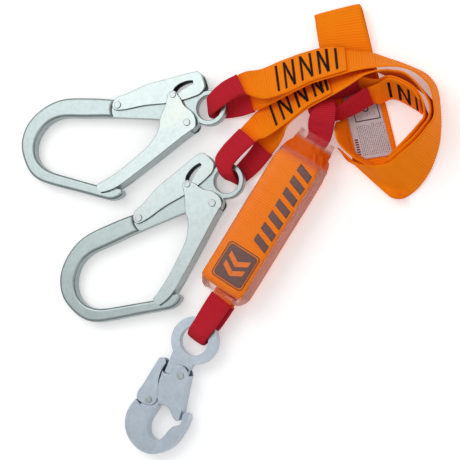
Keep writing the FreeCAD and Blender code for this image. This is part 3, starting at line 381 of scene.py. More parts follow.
def sleeve_mesh(name, keys, mat, p0, p1, step=0.45, around=64, seed=3, pitch=1.7, flare=0.35):
    rows, par = spline_rows(keys)
    rows, p, q = resample(rows, par, step)
    keep = (p >= p0) & (p <= p1)
    rows, p, q = rows[keep], p[keep], q[keep] - q[keep][0]
    C, w, n, L = section_frames(rows)
    ph = np.linspace(0, 2 * math.pi, around, endpoint=False)
    cx = np.sign(np.cos(ph)) * np.abs(np.cos(ph)) ** 0.62
    sy = np.sign(np.sin(ph)) * np.abs(np.sin(ph)) ** 0.72
    end = np.minimum(q, q[-1] - q)
    fl = flare * np.exp(-end / 2.2)
    U, PH = np.meshgrid(q, ph, indexing="ij")
    wr = 0.30 * noise2(U, (PH * 4 + 0.0), 7.5, 3.0, seed) + 0.16 * noise2(U, PH * 4, 3.2, 1.6, seed + 1)
    seam = np.minimum(np.abs(PH), np.abs(PH - 2 * math.pi)) < 0.001
    rb = 0.10 * np.abs(np.cos(math.pi * U / pitch))
    T = SLEEVE_T / 2 - 0.15
    def ring(shrink, extra):
        hx = (L / 2 - 0.1 - shrink)[:, None] + fl[:, None] * 0.6
        hy = (T - shrink) + fl[:, None]
        X = hx * cx[None, :]
        Y = hy * sy[None, :] * (1 + 0.0 * U)
        nx = cx[None, :] * 0.35
        ny = sy[None, :]
        d = extra * (wr + rb - 0.1) * np.minimum(1, end / 1.0 + 0.4)[:, None]
        X = X + d * nx
        Y = Y + np.clip(d, -0.6, 0.35) * ny
        return C[:, None, :] + w[:, None, :] * X[:, :, None] + n[:, None, :] * Y[:, :, None]
    outer = ring(0.0, 1.0)
    inner = ring(0.55, 0.35)
    nrow, m = outer.shape[:2]
    V_ = np.concatenate([outer.reshape(-1, 3), inner.reshape(-1, 3)])
    i = np.arange(nrow - 1)[:, None] * m
    j = np.arange(m)[None, :]
    j2 = (j + 1) % m
    q1 = np.stack([i + j, i + j2, i + m + j2, i + m + j], -1).reshape(-1, 4)
    b = nrow * m
    q2 = np.stack([b + i + j, b + i + m + j, b + i + m + j2, b + i + j2], -1).reshape(-1, 4)
    jj = np.arange(m)
    jj2 = (jj + 1) % m
    e1 = np.stack([jj, b + jj, b + jj2, jj2], -1)
    o = (nrow - 1) * m
    e2 = np.stack([o + jj, o + jj2, b + o + jj2, b + o + jj], -1)
    Q_ = np.concatenate([q1, q2, e1, e2])
    # rib height stored as 'rib', which drives the painted shade in the rib valleys
    rib = np.concatenate([(rb / 0.1).ravel(), (rb / 0.1).ravel()])
    uu = np.concatenate([U.ravel(), U.ravel()])
    vv = np.concatenate([(PH * 4).ravel(), (PH * 4).ravel()])
    return new_object(name, V_ + SHIFT, Q_, mat, True, np.stack([uu, vv], 1) * 0.01, {"rib": rib, "along": uu, "across": vv})


def tube_along(points, r, sides=6):
    """Round thread through points (n, 3)."""
    P = np.asarray(points, float)
    t = np.gradient(P, axis=0)
    t /= np.maximum(np.linalg.norm(t, axis=1), 1e-9)[:, None]
    ref = np.array([0.0, 0.0, 1.0])
    rings = []
    for pnt, d in zip(P, t):
        a = np.cross(d, ref)
        if np.linalg.norm(a) < 1e-3:
            a = np.cross(d, np.array([1.0, 0, 0]))
        a /= np.linalg.norm(a)
        b = np.cross(d, a)
        ph = np.linspace(0, 2 * math.pi, sides, endpoint=False)
        rings.append(pnt + r * (np.cos(ph)[:, None] * a + np.sin(ph)[:, None] * b))
    return tube_grid(np.array(rings))


class Bag:
    """Collects many small closed pieces into one mesh."""
    def __init__(self):
        self.v, self.f, self.n = [], [], 0

    def add(self, V_, Q_, E_=()):
        self.v.append(np.asarray(V_, float))
        self.f += [tuple(int(a) + self.n for a in q) for q in Q_]
        self.f += [tuple(int(a) + self.n for a in e) for e in E_]
        self.n += len(V_)

    def make(self, name, mat, shift=True):
        V_ = np.concatenate(self.v)
        if shift:
            V_ = V_ + SHIFT
        return new_object(name, V_, self.f, mat, True)


def surface_point(keys_rows, par, p, a, up):
    """Point on the face of a strap at station p, across a in -1..1, raised by up mm."""
    row = np.array([np.interp(p, par, keys_rows[:, k]) for k in range(6)])
    d = 0.02
    r1 = np.array([np.interp(p + d, par, keys_rows[:, k]) for k in range(3)])
    r0 = np.array([np.interp(p - d, par, keys_rows[:, k]) for k in range(3)])
    w = row[3:6]
    L = np.linalg.norm(w)
    w = w / L
    n = np.cross(r1 - r0, w)
    n /= np.linalg.norm(n)
    return row[:3] + w * (a * L / 2) + n * up, w, n, L


def stitch_group(name, keys, mat, bars, links, side, reach=0.80, r=0.40, up=1.02, zig=1.05):
    rows, par = spline_rows(keys)
    bag = Bag()
    def path(pa, aa, pb, ab, amp, pitch=1.25):
        A = surface_point(rows, par, pa, aa, 0)[0]
        B = surface_point(rows, par, pb, ab, 0)[0]
        n_ = max(int(np.linalg.norm(A - B) / pitch), 4)
        pts = []
        slope = np.linalg.norm(surface_point(rows, par, pa + 0.05, aa, 0)[0] - surface_point(rows, par, pa - 0.05, aa, 0)[0]) / 0.1
        for i in range(n_ * 4 + 1):
            f = i / (n_ * 4.0)
            tri = abs(((i / 4.0) % 1.0) * 2 - 1) * 2 - 1
            pp = pa * (1 - f) + pb * f + amp * tri / max(slope, 1e-3)
            ab_ = aa * (1 - f) + ab * f
            dip = 0.10 * (1 - abs(tri))
            P, w_, n_v, L_ = surface_point(rows, par, pp, ab_, 0)
            pts.append(P + n_v * side * (up + 0.14 * (1 - abs(tri)) + 0.02))
        return np.array(pts)
    for b in bars:
        P = path(b, -reach, b, reach, zig)
        bag.add(*tube_along(P, r))
    for a, b, d in links:
        P = path(a, -reach * d, b, reach * d, zig)
        bag.add(*tube_along(P, r))
    return bag.make(name, mat)


# ---------------------------------------------------------------- materials
def node_mat(name):
    m = bpy.data.materials.new(name)
    m.use_nodes = True
    nt = m.node_tree
    nt.nodes.clear()
    out = nt.nodes.new("ShaderNodeOutputMaterial")
    bs = nt.nodes.new("ShaderNodeBsdfPrincipled")
    nt.links.new(bs.outputs[0], out.inputs[0])
    return m, nt, bs, out


def N(nt, kind, **kw):
    n = nt.nodes.new(kind)
    for k, v in kw.items():
        if k == "inp":
            for a, b in v.items():
                n.inputs[a].default_value = b
        else:
            setattr(n, k, v)
    return n


def setin(bs, names, value):
    for nm in names:
        if nm in bs.inputs:
            bs.inputs[nm].default_value = value
            return


def ramp(nt, stops, interp="LINEAR"):
    r = nt.nodes.new("ShaderNodeValToRGB")
    r.color_ramp.interpolation = interp
    while len(r.color_ramp.elements) > 1:
        r.color_ramp.elements.remove(r.color_ramp.elements[-1])
    r.color_ramp.elements[0].position = stops[0][0]
    r.color_ramp.elements[0].color = stops[0][1]
    for pos, col in stops[1:]:
        e = r.color_ramp.elements.new(pos)
        e.color = col
    return r


def mathn(nt, op, a=None, b=None, va=0.0, vb=0.0, clamp=False):
    n = nt.nodes.new("ShaderNodeMath")
    n.operation = op
    n.use_clamp = clamp
    if a is not None:
        nt.links.new(a, n.inputs[0])
    else:
        n.inputs[0].default_value = va
    if b is not None:
        nt.links.new(b, n.inputs[1])
    else:
        n.inputs[1].default_value = vb
    return n.outputs[0]


def mixc(nt, fac, a, b, blend="MIX"):
    n = nt.nodes.new("ShaderNodeMix")
    n.data_type = "RGBA"
    n.blend_type = blend
    for sock, val in ((n.inputs[0], fac), (n.inputs[6], a), (n.inputs[7], b)):
        if hasattr(val, "is_linked") or hasattr(val, "links"):
            nt.links.new(val, sock)
        else:
            sock.default_value = val
    return n.outputs[2]


def fabric(name, base, valley_shade_col, light, weave_p=0.62, rough=0.78, sheen=0.35, bump=0.25, glow=0.0):
    """Woven tape: ribs across, fine warp threads along, painted shade in the rib valleys and painted highlight on the
    rib crests, soft sheen and a little wear.
    """
    m, nt, bs, out = node_mat(name)
    at = N(nt, "ShaderNodeAttribute", attribute_name="along")
    ac = N(nt, "ShaderNodeAttribute", attribute_name="across")
    rb = N(nt, "ShaderNodeAttribute", attribute_name="rib")
    # warp threads: alternate rows shifted half a thread
    u = at.outputs["Fac"]
    v = ac.outputs["Fac"]
    vt = mathn(nt, "MULTIPLY", v, None, vb=2 * math.pi / weave_p)
    warp = mathn(nt, "SINE", vt)
    ut = mathn(nt, "MULTIPLY", u, None, vb=2 * math.pi / (weave_p * 1.6))
    ph = mathn(nt, "ADD", ut, mathn(nt, "MULTIPLY", mathn(nt, "SIGN", warp), None, vb=1.57))
    weft = mathn(nt, "SINE", ph)
    weave = mathn(nt, "MULTIPLY", mathn(nt, "ABSOLUTE", warp), mathn(nt, "MULTIPLY_ADD", weft, None, vb=0.35))
    weave = mathn(nt, "ADD", weave, None, vb=0.5)
    tc = N(nt, "ShaderNodeTexCoord")
    nz = N(nt, "ShaderNodeTexNoise", inp={"Scale": 55.0, "Detail": 5.0, "Roughness": 0.6})
    nt.links.new(tc.outputs["Object"], nz.inputs["Vector"])
    fz = N(nt, "ShaderNodeTexNoise", inp={"Scale": 900.0, "Detail": 3.0})
    nt.links.new(tc.outputs["Object"], fz.inputs["Vector"])
    # painted shade and highlight: low rib values (valleys) take the dark shade colour, high ones (crests) the lit
    # colour; the noise adds random tone
    cr = ramp(nt, [(0.0, valley_shade_col), (0.45, base), (1.0, light)])
    f = mathn(nt, "MULTIPLY_ADD", rb.outputs["Fac"], None, vb=0.86)
    f.node.inputs[2].default_value = -0.02
    f = mathn(nt, "ADD", f, mathn(nt, "MULTIPLY", nz.outputs["Fac"], None, vb=0.26))
    f = mathn(nt, "ADD", f, mathn(nt, "MULTIPLY", fz.outputs["Fac"], None, vb=0.16), clamp=True)
    nt.links.new(f, cr.inputs[0])
    wear = ramp(nt, [(0.62, (0, 0, 0, 1)), (0.80, (1, 1, 1, 1))])
    nz2 = N(nt, "ShaderNodeTexNoise", inp={"Scale": 21.0, "Detail": 6.0, "Roughness": 0.7})
    nt.links.new(tc.outputs["Object"], nz2.inputs["Vector"])
    nt.links.new(nz2.outputs["Fac"], wear.inputs[0])
    col = mixc(nt, mathn(nt, "MULTIPLY", wear.outputs[0], None, vb=0.22), cr.outputs[0], light)
    nt.links.new(col, bs.inputs["Base Color"])
    setin(bs, ["Roughness"], rough)
    setin(bs, ["Sheen Weight"], sheen)
    setin(bs, ["Sheen Roughness"], 0.45)
    setin(bs, ["Specular IOR Level"], 0.12)
    if glow:
        nt.links.new(col, bs.inputs["Emission Color"])
        setin(bs, ["Emission Strength"], glow)
    hsum = mathn(nt, "ADD", weave, mathn(nt, "MULTIPLY", fz.outputs["Fac"], None, vb=0.5))
    bp = N(nt, "ShaderNodeBump", inp={"Strength": bump, "Distance": 0.00022})
    nt.links.new(hsum, bp.inputs["Height"])
    nt.links.new(bp.outputs[0], bs.inputs["Normal"])
    return m


def metal(name, base, rough, grain=(900, 40, 900), dark=0.75, warm=None, scratch=0.5, blotch=0.5):
    """Zinc plate: cool grey with soft mottling, fine grain and a few rubbed marks."""
    m, nt, bs, out = node_mat(name)
    tc = N(nt, "ShaderNodeTexCoord")
    mp = N(nt, "ShaderNodeMapping")
    mp.inputs["Scale"].default_value = grain
    nt.links.new(tc.outputs["Object"], mp.inputs["Vector"])
    g = N(nt, "ShaderNodeTexNoise", inp={"Scale": 1.0, "Detail": 3.0})
    nt.links.new(mp.outputs[0], g.inputs["Vector"])
    b = N(nt, "ShaderNodeTexNoise", inp={"Scale": 60.0, "Detail": 6.0, "Roughness": 0.62})
    nt.links.new(tc.outputs["Object"], b.inputs["Vector"])
    v = N(nt, "ShaderNodeTexVoronoi", inp={"Scale": 260.0})
    nt.links.new(tc.outputs["Object"], v.inputs["Vector"])
    c0 = tuple(x * dark for x in base) + (1,)
    c1 = tuple(base) + (1,)
    c2 = tuple(min(1, x * 1.10) for x in base) + (1,)
    cr = ramp(nt, [(0.30, c0), (0.52, c1), (0.75, c2)])
    f = mathn(nt, "ADD", mathn(nt, "MULTIPLY", b.outputs["Fac"], None, vb=blotch + 0.3), mathn(nt, "MULTIPLY", v.outputs["Distance"], None, vb=0.25))
    nt.links.new(f, cr.inputs[0])
    col = cr.outputs[0]
    if warm:
        wr = ramp(nt, [(0.58, (0, 0, 0, 1)), (0.72, (1, 1, 1, 1))])
        wn = N(nt, "ShaderNodeTexNoise", inp={"Scale": 24.0, "Detail": 4.0})
        nt.links.new(tc.outputs["Object"], wn.inputs["Vector"])
        nt.links.new(wn.outputs["Fac"], wr.inputs[0])
        col = mixc(nt, mathn(nt, "MULTIPLY", wr.outputs[0], None, vb=0.35), col, tuple(warm) + (1,))
    nt.links.new(col, bs.inputs["Base Color"])
    setin(bs, ["Metallic"], 1.0)
    rr = mathn(nt, "MULTIPLY_ADD", b.outputs["Fac"], None, vb=0.12)
    rr.node.inputs[2].default_value = rough - 0.04
    nt.links.new(rr, bs.inputs["Roughness"])
    bp = N(nt, "ShaderNodeBump", inp={"Strength": 0.06 * scratch, "Distance": 0.00012})
    hh = mathn(nt, "ADD", g.outputs["Fac"], mathn(nt, "MULTIPLY", b.outputs["Fac"], None, vb=1.6))
    nt.links.new(hh, bp.inputs["Height"])
    nt.links.new(bp.outputs[0], bs.inputs["Normal"])
    return m


def plain(name, col, rough, spec=0.4, noise=0.06, scale=300.0, bump=0.05):
    m, nt, bs, out = node_mat(name)
    tc = N(nt, "ShaderNodeTexCoord")
    n = N(nt, "ShaderNodeTexNoise", inp={"Scale": scale, "Detail": 4.0})
    nt.links.new(tc.outputs["Object"], n.inputs["Vector"])
    a = tuple(max(0, c * (1 - noise * 2)) for c in col) + (1,)
    b = tuple(min(1, c * (1 + noise)) for c in col) + (1,)
    cr = ramp(nt, [(0.25, a), (0.75, b)])
    nt.links.new(n.outputs["Fac"], cr.inputs[0])
    nt.links.new(cr.outputs[0], bs.inputs["Base Color"])
    setin(bs, ["Roughness"], rough)
    setin(bs, ["Specular IOR Level"], spec)
    bp = N(nt, "ShaderNodeBump", inp={"Strength": bump, "Distance": 0.0002})
    nt.links.new(n.outputs["Fac"], bp.inputs["Height"])
    nt.links.new(bp.outputs[0], bs.inputs["Normal"])
    return m


def film_mat():
    """Clear wrap: mostly see-through from above, milky where it is steep or creased."""
    m = bpy.data.materials.new("wrap_film")
    m.use_nodes = True
    nt = m.node_tree
    nt.nodes.clear()
    out = nt.nodes.new("ShaderNodeOutputMaterial")
    tr = N(nt, "ShaderNodeBsdfTransparent")
    tr.inputs[0].default_value = (1.0, 0.985, 0.975, 1)
    gl = N(nt, "ShaderNodeBsdfGlossy")
    gl.inputs["Roughness"].default_value = 0.20
    gl.inputs["Color"].default_value = (1, 1, 1, 1)
    df = N(nt, "ShaderNodeBsdfDiffuse")
    df.inputs["Color"].default_value = (0.80, 0.44, 0.36, 1)
    tl = N(nt, "ShaderNodeBsdfTranslucent")
    tl.inputs["Color"].default_value = (0.85, 0.50, 0.42, 1)
    an = N(nt, "ShaderNodeAttribute", attribute_name="tint")
    nt.links.new(mixc(nt, an.outputs["Fac"], (0.80, 0.44, 0.36, 1), (0.95, 0.19, 0.006, 1)), df.inputs["Color"])
    nt.links.new(mixc(nt, an.outputs["Fac"], (0.85, 0.50, 0.42, 1), (0.95, 0.20, 0.008, 1)), tl.inputs["Color"])
    milk = N(nt, "ShaderNodeMixShader")
    milk.inputs[0].default_value = 0.45
    nt.links.new(df.outputs[0], milk.inputs[1])
    nt.links.new(tl.outputs[0], milk.inputs[2])
    at = N(nt, "ShaderNodeAttribute", attribute_name="milk")
    mx = N(nt, "ShaderNodeMixShader")
    nt.links.new(at.outputs["Fac"], mx.inputs[0])
    nt.links.new(tr.outputs[0], mx.inputs[1])
    nt.links.new(milk.outputs[0], mx.inputs[2])
    fr = N(nt, "ShaderNodeFresnel")
    fr.inputs[0].default_value = 1.42
    ff = mathn(nt, "MULTIPLY", fr.outputs[0], None, vb=0.17, clamp=True)
    m2 = N(nt, "ShaderNodeMixShader")
    nt.links.new(ff, m2.inputs[0])
    nt.links.new(mx.outputs[0], m2.inputs[1])
    nt.links.new(gl.outputs[0], m2.inputs[2])
    tc = N(nt, "ShaderNodeTexCoord")
    nz = N(nt, "ShaderNodeTexNoise", inp={"Scale": 130.0, "Detail": 5.0, "Distortion": 1.2})
    nt.links.new(tc.outputs["Object"], nz.inputs["Vector"])
    bp = N(nt, "ShaderNodeBump", inp={"Strength": 0.35, "Distance": 0.0006})
    nt.links.new(nz.outputs["Fac"], bp.inputs["Height"])
    for s in (gl, df, fr):
        nt.links.new(bp.outputs[0], s.inputs["Normal"])
    nt.links.new(m2.outputs[0], out.inputs[0])
    return m



# ---------------------------------------------------------------- finishes
# second colour: painted shade colour for the rib valleys; third colour: painted highlight colour for the rib crests,
# also used for the wear patches
ORANGE = fabric("webbing_orange", (1.0, 0.200, 0.0, 1), (0.76, 0.062, 0.0, 1), (1.0, 0.262, 0.002, 1), rough=0.78, sheen=0.0)
ORANGE_B = fabric("webbing_orange_pack", (1.0, 0.195, 0.0, 1), (0.78, 0.068, 0.0, 1), (1.0, 0.27, 0.003, 1), rough=0.70, sheen=0.0)
RED = fabric("sleeve_red", (0.46, 0.008, 0.020, 1), (0.20, 0.002, 0.007, 1), (0.58, 0.018, 0.034, 1), weave_p=0.55, rough=0.72, sheen=0.04, bump=0.3)
THREAD = plain("thread_dark", (0.020, 0.010, 0.008), 0.75, 0.2, 0.4, 2500.0, 0.4)
INK = plain("print_ink_brown", (0.150, 0.062, 0.058), 0.42, 0.45, 0.14, 1100.0, 0.18)
INK_O = plain("print_ink_orange", (0.95, 0.21, 0.01), 0.45, 0.4, 0.10, 1100.0, 0.15)
LABEL_M = plain("label_sheet_grey", (0.60, 0.53, 0.56), 0.36, 0.5, 0.05, 260.0, 0.10)
LABEL_INK = plain("label_ink", (0.060, 0.035, 0.045), 0.5, 0.4, 0.2, 1500.0, 0.05)
LABEL_INK2 = plain("label_ink_red", (0.22, 0.030, 0.040), 0.5, 0.4, 0.2, 1500.0, 0.05)
FILM_M = film_mat()
ZINC = metal("zinc_satin", (0.38, 0.435, 0.43), 0.30, dark=0.86, warm=(0.47, 0.46, 0.40))
ZINC_BOW = metal("zinc_forged", (0.335, 0.39, 0.39), 0.32, grain=(300, 300, 300), dark=0.88, blotch=0.5)
ZINC_SNAP = metal("zinc_snap", (0.46, 0.52, 0.585), 0.28, grain=(500, 500, 500), dark=0.89)
ZINC_RIVET = metal("zinc_rivet", (0.42, 0.455, 0.455), 0.35, grain=(1500, 1500, 1500), dark=0.7)
WIRE = metal("spring_wire", (0.42, 0.36, 0.25), 0.38, grain=(1500, 60, 1500), dark=0.55)

NODES = frame["nodes"]


def paint(node, mat):
    o = NODES[node]
    if not o.data.materials:
        o.data.materials.append(mat)
    for s in o.material_slots:
        s.material = mat


for tag in ("a", "b"):
    paint("hook_%s_body" % tag, ZINC_BOW)
    for k in ("gate", "lock_lever"):
        paint("hook_%s_%s" % (tag, k), ZINC)
    for k in ("gate_rivet", "lever_rivet", "lock_pin"):
        paint("hook_%s_%s" % (tag, k), ZINC_RIVET)
    for k in ("gate_spring", "lever_spring"):
        paint("hook_%s_%s" % (tag, k), WIRE)
for k in ("body", "gate", "lock_lever"):
    paint("snap_" + k, ZINC_SNAP)
for k in ("gate_rivet", "lever_rivet"):
    paint("snap_" + k, ZINC_RIVET)

# ---------------------------------------------------------------- straps
WEB_W = 45.0
EYE_T, EYE_INSET, SLEEVE_T = 2.3, 1.3, 4.4
la = strap_mesh("leg_a_strap", LEG_A, ORANGE, fold=(17 / 3.0, 44 / 3.0), seed=11, wave=0.10)
lb = strap_mesh("leg_b_strap", LEG_B, ORANGE, fold=(13 / 3.0, 41 / 3.0), seed=12, wave=0.08)
cc = strap_mesh("centre_strap", CENTRE, ORANGE, fold=(5.0, 14.0), seed=13, wave=0.06)
ul = strap_mesh("upper_eye_strap", UPPER_LOOP, ORANGE, fold=(0, 16), step=0.8, seed=14, wave=0.0)
ll = strap_mesh("lower_eye_strap", LOWER_LOOP, ORANGE, fold=(0, 10), step=0.8, seed=15, wave=0.0)
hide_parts("leg_a_webbing"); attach(la, "webbing")
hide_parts("leg_b_webbing"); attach(lb, "webbing")
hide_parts("centre_webbing"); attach(cc, "webbing")
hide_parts("absorber_upper_webbing"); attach(ul, "absorber")
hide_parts("absorber_lower_webbing"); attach(ll, "absorber")

for nm, keys, p0, p1, node, body, seed in (
        ("leg_a_wear_sleeve", LEG_A, 17 / 3.0, 44 / 3.0, "leg_a_eye_sleeve", "webbing", 21),
        ("leg_b_wear_sleeve", LEG_B, 13 / 3.0, 41 / 3.0, "leg_b_eye_sleeve", "webbing", 22),
        ("centre_wear_sleeve", CENTRE, 5.0, 14.0, "centre_eye_sleeve", "webbing", 23),
        ("upper_wear_sleeve", UPPER_LOOP, 4 / 3.0, 14.0, "absorber_upper_sleeve", "absorber", 24),
        ("lower_wear_sleeve", LOWER_LOOP, 2 / 3.0, 9.0, "absorber_lower_sleeve", "absorber", 25)):
    o = sleeve_mesh(nm, keys, RED, p0, p1, seed=seed)
    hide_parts(node)
    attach(o, body)

# ---------------------------------------------------------------- stitching
sa = stitch_group("leg_a_stitch_rows", LEG_A, THREAD, [0.62, 3.34, 1.14, 1.53, 1.88, 2.30, 2.63, 3.0],
                  [(1.53, 1.14, 1), (2.30, 1.88, 1), (3.0, 2.63, 1)], 1)
sb = stitch_group("leg_b_stitch_rows", LEG_B, THREAD, [0.10, 2.35, 0.30, 0.61, 0.96, 1.32, 1.64, 2.0],
                  [(0.61, 0.30, 1), (1.32, 0.96, 1), (2.0, 1.64, 1)], 1)
sc = stitch_group("centre_stitch_rows", CENTRE, THREAD, [0.45, 3.0, 1.35, 2.15], [(1.35, 2.15, 1)], -1, reach=0.72)
for o, node in ((sa, "leg_a_stitching"), (sb, "leg_b_stitching"), (sc, "centre_stitching")):
    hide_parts(node)
    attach(o, "webbing")

# ---------------------------------------------------------------- absorber pack
PC = np.array((38.5, 2.4, 19.2))
PX = np.array((0.5447, 0.8386, 0.0))
PY = np.array((-0.8386, 0.5447, 0.0))
PZ = np.array((0.0, 0.0, 1.0))


def pack_world(P):
    P = np.asarray(P, float)
    return PC + P[..., 0:1] * PX + P[..., 1:2] * PY + P[..., 2:3] * PZ


def rounded_path(pts, radii, step=1.0):
    """Closed path through corner points (x, z) with rounded corners, resampled."""
    out = []
    n = len(pts)
    for i in range(n):
        p0, p1, p2 = np.array(pts[i - 1]), np.array(pts[i]), np.array(pts[(i + 1) % n])
        d1, d2 = (p0 - p1), (p2 - p1)
        L1, L2 = np.linalg.norm(d1), np.linalg.norm(d2)
        r = min(radii[i], L1 * 0.49, L2 * 0.49)
        a, b = p1 + d1 / L1 * r, p1 + d2 / L2 * r
        for k in range(9):
            s = k / 8.0
            out.append((1 - s) ** 2 * a + 2 * s * (1 - s) * p1 + s * s * b)
    P = np.array(out + [out[0]])
    seg = np.linalg.norm(np.diff(P, axis=0), axis=1)
    s = np.concatenate([[0], np.cumsum(seg)])
    m = int(s[-1] / step)
    q = np.linspace(0, s[-1], m, endpoint=False)
    return np.stack([np.interp(q, s, P[:, 0]), np.interp(q, s, P[:, 1])], 1), q


def torus_quads(n, m):
    i = np.arange(n)[:, None]
    j = np.arange(m)[None, :]
    i2, j2 = (i + 1) % n, (j + 1) % m
    return np.stack([i * m + j, i * m + j2, i2 * m + j2, i2 * m + j], -1).reshape(-1, 4)


def top_height(x, y):
    """Height of the pack's upper face over its centre."""
    x, y = np.asarray(x, float), np.asarray(y, float)
    path, q = rounded_path(WRAP, WRAP_R, 0.5)
    up = path[:, 1] > 6.0
    o = np.argsort(path[up, 0])
    zp = np.interp(x, path[up, 0][o], path[up, 1][o])
    qx = np.interp(x, path[up, 0][o], q[up][o])
    s = y / 22.3
    roll = -1.6 * np.clip((np.abs(s) - 0.84) / 0.16, 0, 1) ** 2.0
    return zp + 0.21 + roll - 0.55 * s * s + 0.12 * np.sin(qx / 17.0 + s * 2)


WRAP = [(-71, -16.3), (71, -16.3), (71, 9.0), (62.0, 16.3), (-71, 16.3)]
WRAP_R = [7, 7, 6, 8, 8]


def cover_mesh():
    path, q = rounded_path(WRAP, WRAP_R, 0.5)
    n = len(path)
    t = np.roll(path, -1, 0) - np.roll(path, 1, 0)
    t /= np.linalg.norm(t, axis=1)[:, None]
    nrm = np.stack([t[:, 1], -t[:, 0]], 1)         # outward
    a = np.linspace(-1, 1, 23)
    w = 22.3
    ribs = 0.20 * np.abs(np.cos(math.pi * q / 2.4)) ** 0.8
    out_o, out_i, att = [], [], []
    pinch = np.clip((path[:, 0] - 58) / 13.0, 0, 1)
    for s in a:
        roll = -1.6 * np.clip((abs(s) - 0.84) / 0.16, 0, 1) ** 2.0
        crown = 0.55 * (1 - s * s) - 0.55
        ww = w - 2.6 * pinch
        o = path + nrm * (ribs + roll + crown + 0.12 * np.sin(q / 17.0 + s * 2))[:, None]
        i = path + nrm * (ribs * 0.3 + roll + crown - 1.15)[:, None]
        out_o.append(np.stack([o[:, 0], s * ww, o[:, 1]], 1))
        out_i.append(np.stack([i[:, 0], s * ww * 0.985, i[:, 1]], 1))
        # rib height stored as 'rib', which drives the painted shade in the rib valleys
        att.append(ribs / 0.20)
    R = np.stack(out_o + out_i[::-1], 1)
    A = np.stack(att + att[::-1], 1)
    m = R.shape[1]
    V_ = pack_world(R.reshape(-1, 3))
    av = np.concatenate([a, a[::-1]]) * w
    uu = np.repeat(q[:, None], m, 1).ravel()
    vv = np.repeat(av[None, :], n, 0).ravel()
    return new_object("pack_wrap", V_ + SHIFT, torus_quads(n, m), ORANGE_B, True, np.stack([uu, vv], 1) * 0.01,
                      {"rib": A.ravel(), "along": uu, "across": vv})


def core_mesh():
    """One strap folded back and forth."""
    t, g, nf = 2.0, 0.42, 12
    Lh = 62.0
    z0 = -(nf * t + (nf - 1) * g) / 2 + t / 2
    pts = []
    for i in range(nf):
        z = z0 + i * (t + g)
        d = 1 if i % 2 == 0 else -1
        jit = RNG.uniform(-2.2, 1.0)
        for s in np.linspace(-1, 1, 40):
            pts.append((d * s * (Lh + jit), z + 0.12 * math.sin(s * 5 + i)))
        if i < nf - 1:
            for k in range(1, 8):
                a = math.pi * k / 8
                pts.append((d * ((Lh + jit) + 1.2 * math.sin(a)), z + (t + g) * (1 - math.cos(a)) / 2))
    P = np.array(pts)
    seg = np.linalg.norm(np.diff(P, axis=0), axis=1)
    s = np.concatenate([[0], np.cumsum(seg)])
    q = np.linspace(0, s[-1], int(s[-1] / 0.95))
    P = np.stack([np.interp(q, s, P[:, 0]), np.interp(q, s, P[:, 1])], 1)
    tt = np.gradient(P, axis=0)
    tt /= np.linalg.norm(tt, axis=1)[:, None]
    nn = np.stack([-tt[:, 1], tt[:, 0]], 1)
    h = 0.92 + 0.08 * np.abs(np.cos(math.pi * q / 1.9))
    ed = 0.5 * wobble(q, 30.0, 41)
    rings = []
    sec = [(-1, 0.55), (-0.985, 1), (0, 1), (0.985, 1), (1, 0.55), (1, -0.55), (0.985, -1), (0, -1), (-0.985, -1), (-1, -0.55)]
    for a, b in sec:
        o = P + nn * (h * b)[:, None]
        rings.append(np.stack([o[:, 0], a * 20.6 + ed, o[:, 1]], 1))
    R = np.stack(rings, 1)
    V_, Q_, E_ = tube_grid(R)
    uu = np.repeat(q[:, None], len(sec), 1).ravel()
    vv = np.tile(np.array([a for a, b in sec]) * 20.6, len(q))
    # rib height stored as 'rib', which drives the painted shade in the rib valleys
    return new_object("pack_folds", pack_world(V_) + SHIFT, Q_, ORANGE_B, True, np.stack([uu, vv], 1) * 0.01,
                      {"rib": np.repeat((h - 0.92) / 0.08, len(sec)), "along": uu, "across": vv}, tris=E_)


FILM_SEC = np.array([(-77.5, 34.0, 23.0, -1.2, 0.0, 3.0), (-75.5, 40.5, 29.0, -0.6, 0.0, 3.4), (-72.0, 45.0, 33.0, -0.1, 0.0, 4.2), (-67.0, 46.6, 34.8, 0.0, 0.0, 6.0),
                     (-40.0, 46.9, 34.9, 0.0, 0.0, 7.0), (0.0, 46.9, 34.9, 0.0, 0.0, 7.0), (40.0, 46.9, 34.9, 0.0, 0.0, 7.0), (60.0, 46.7, 34.9, 0.0, 0.0, 6.0),
                     (68.0, 46.0, 34.2, -0.1, 0.0, 5.0), (74.0, 42.0, 32.6, -0.4, 0.2, 3.6), (80.0, 37.5, 31.6, -0.6, 0.2, 3.0), (86.0, 35.5, 31.4, -0.8, 0.1, 3.0),
                     (92.0, 34.5, 31.4, -1.0, 0.0, 3.0)])


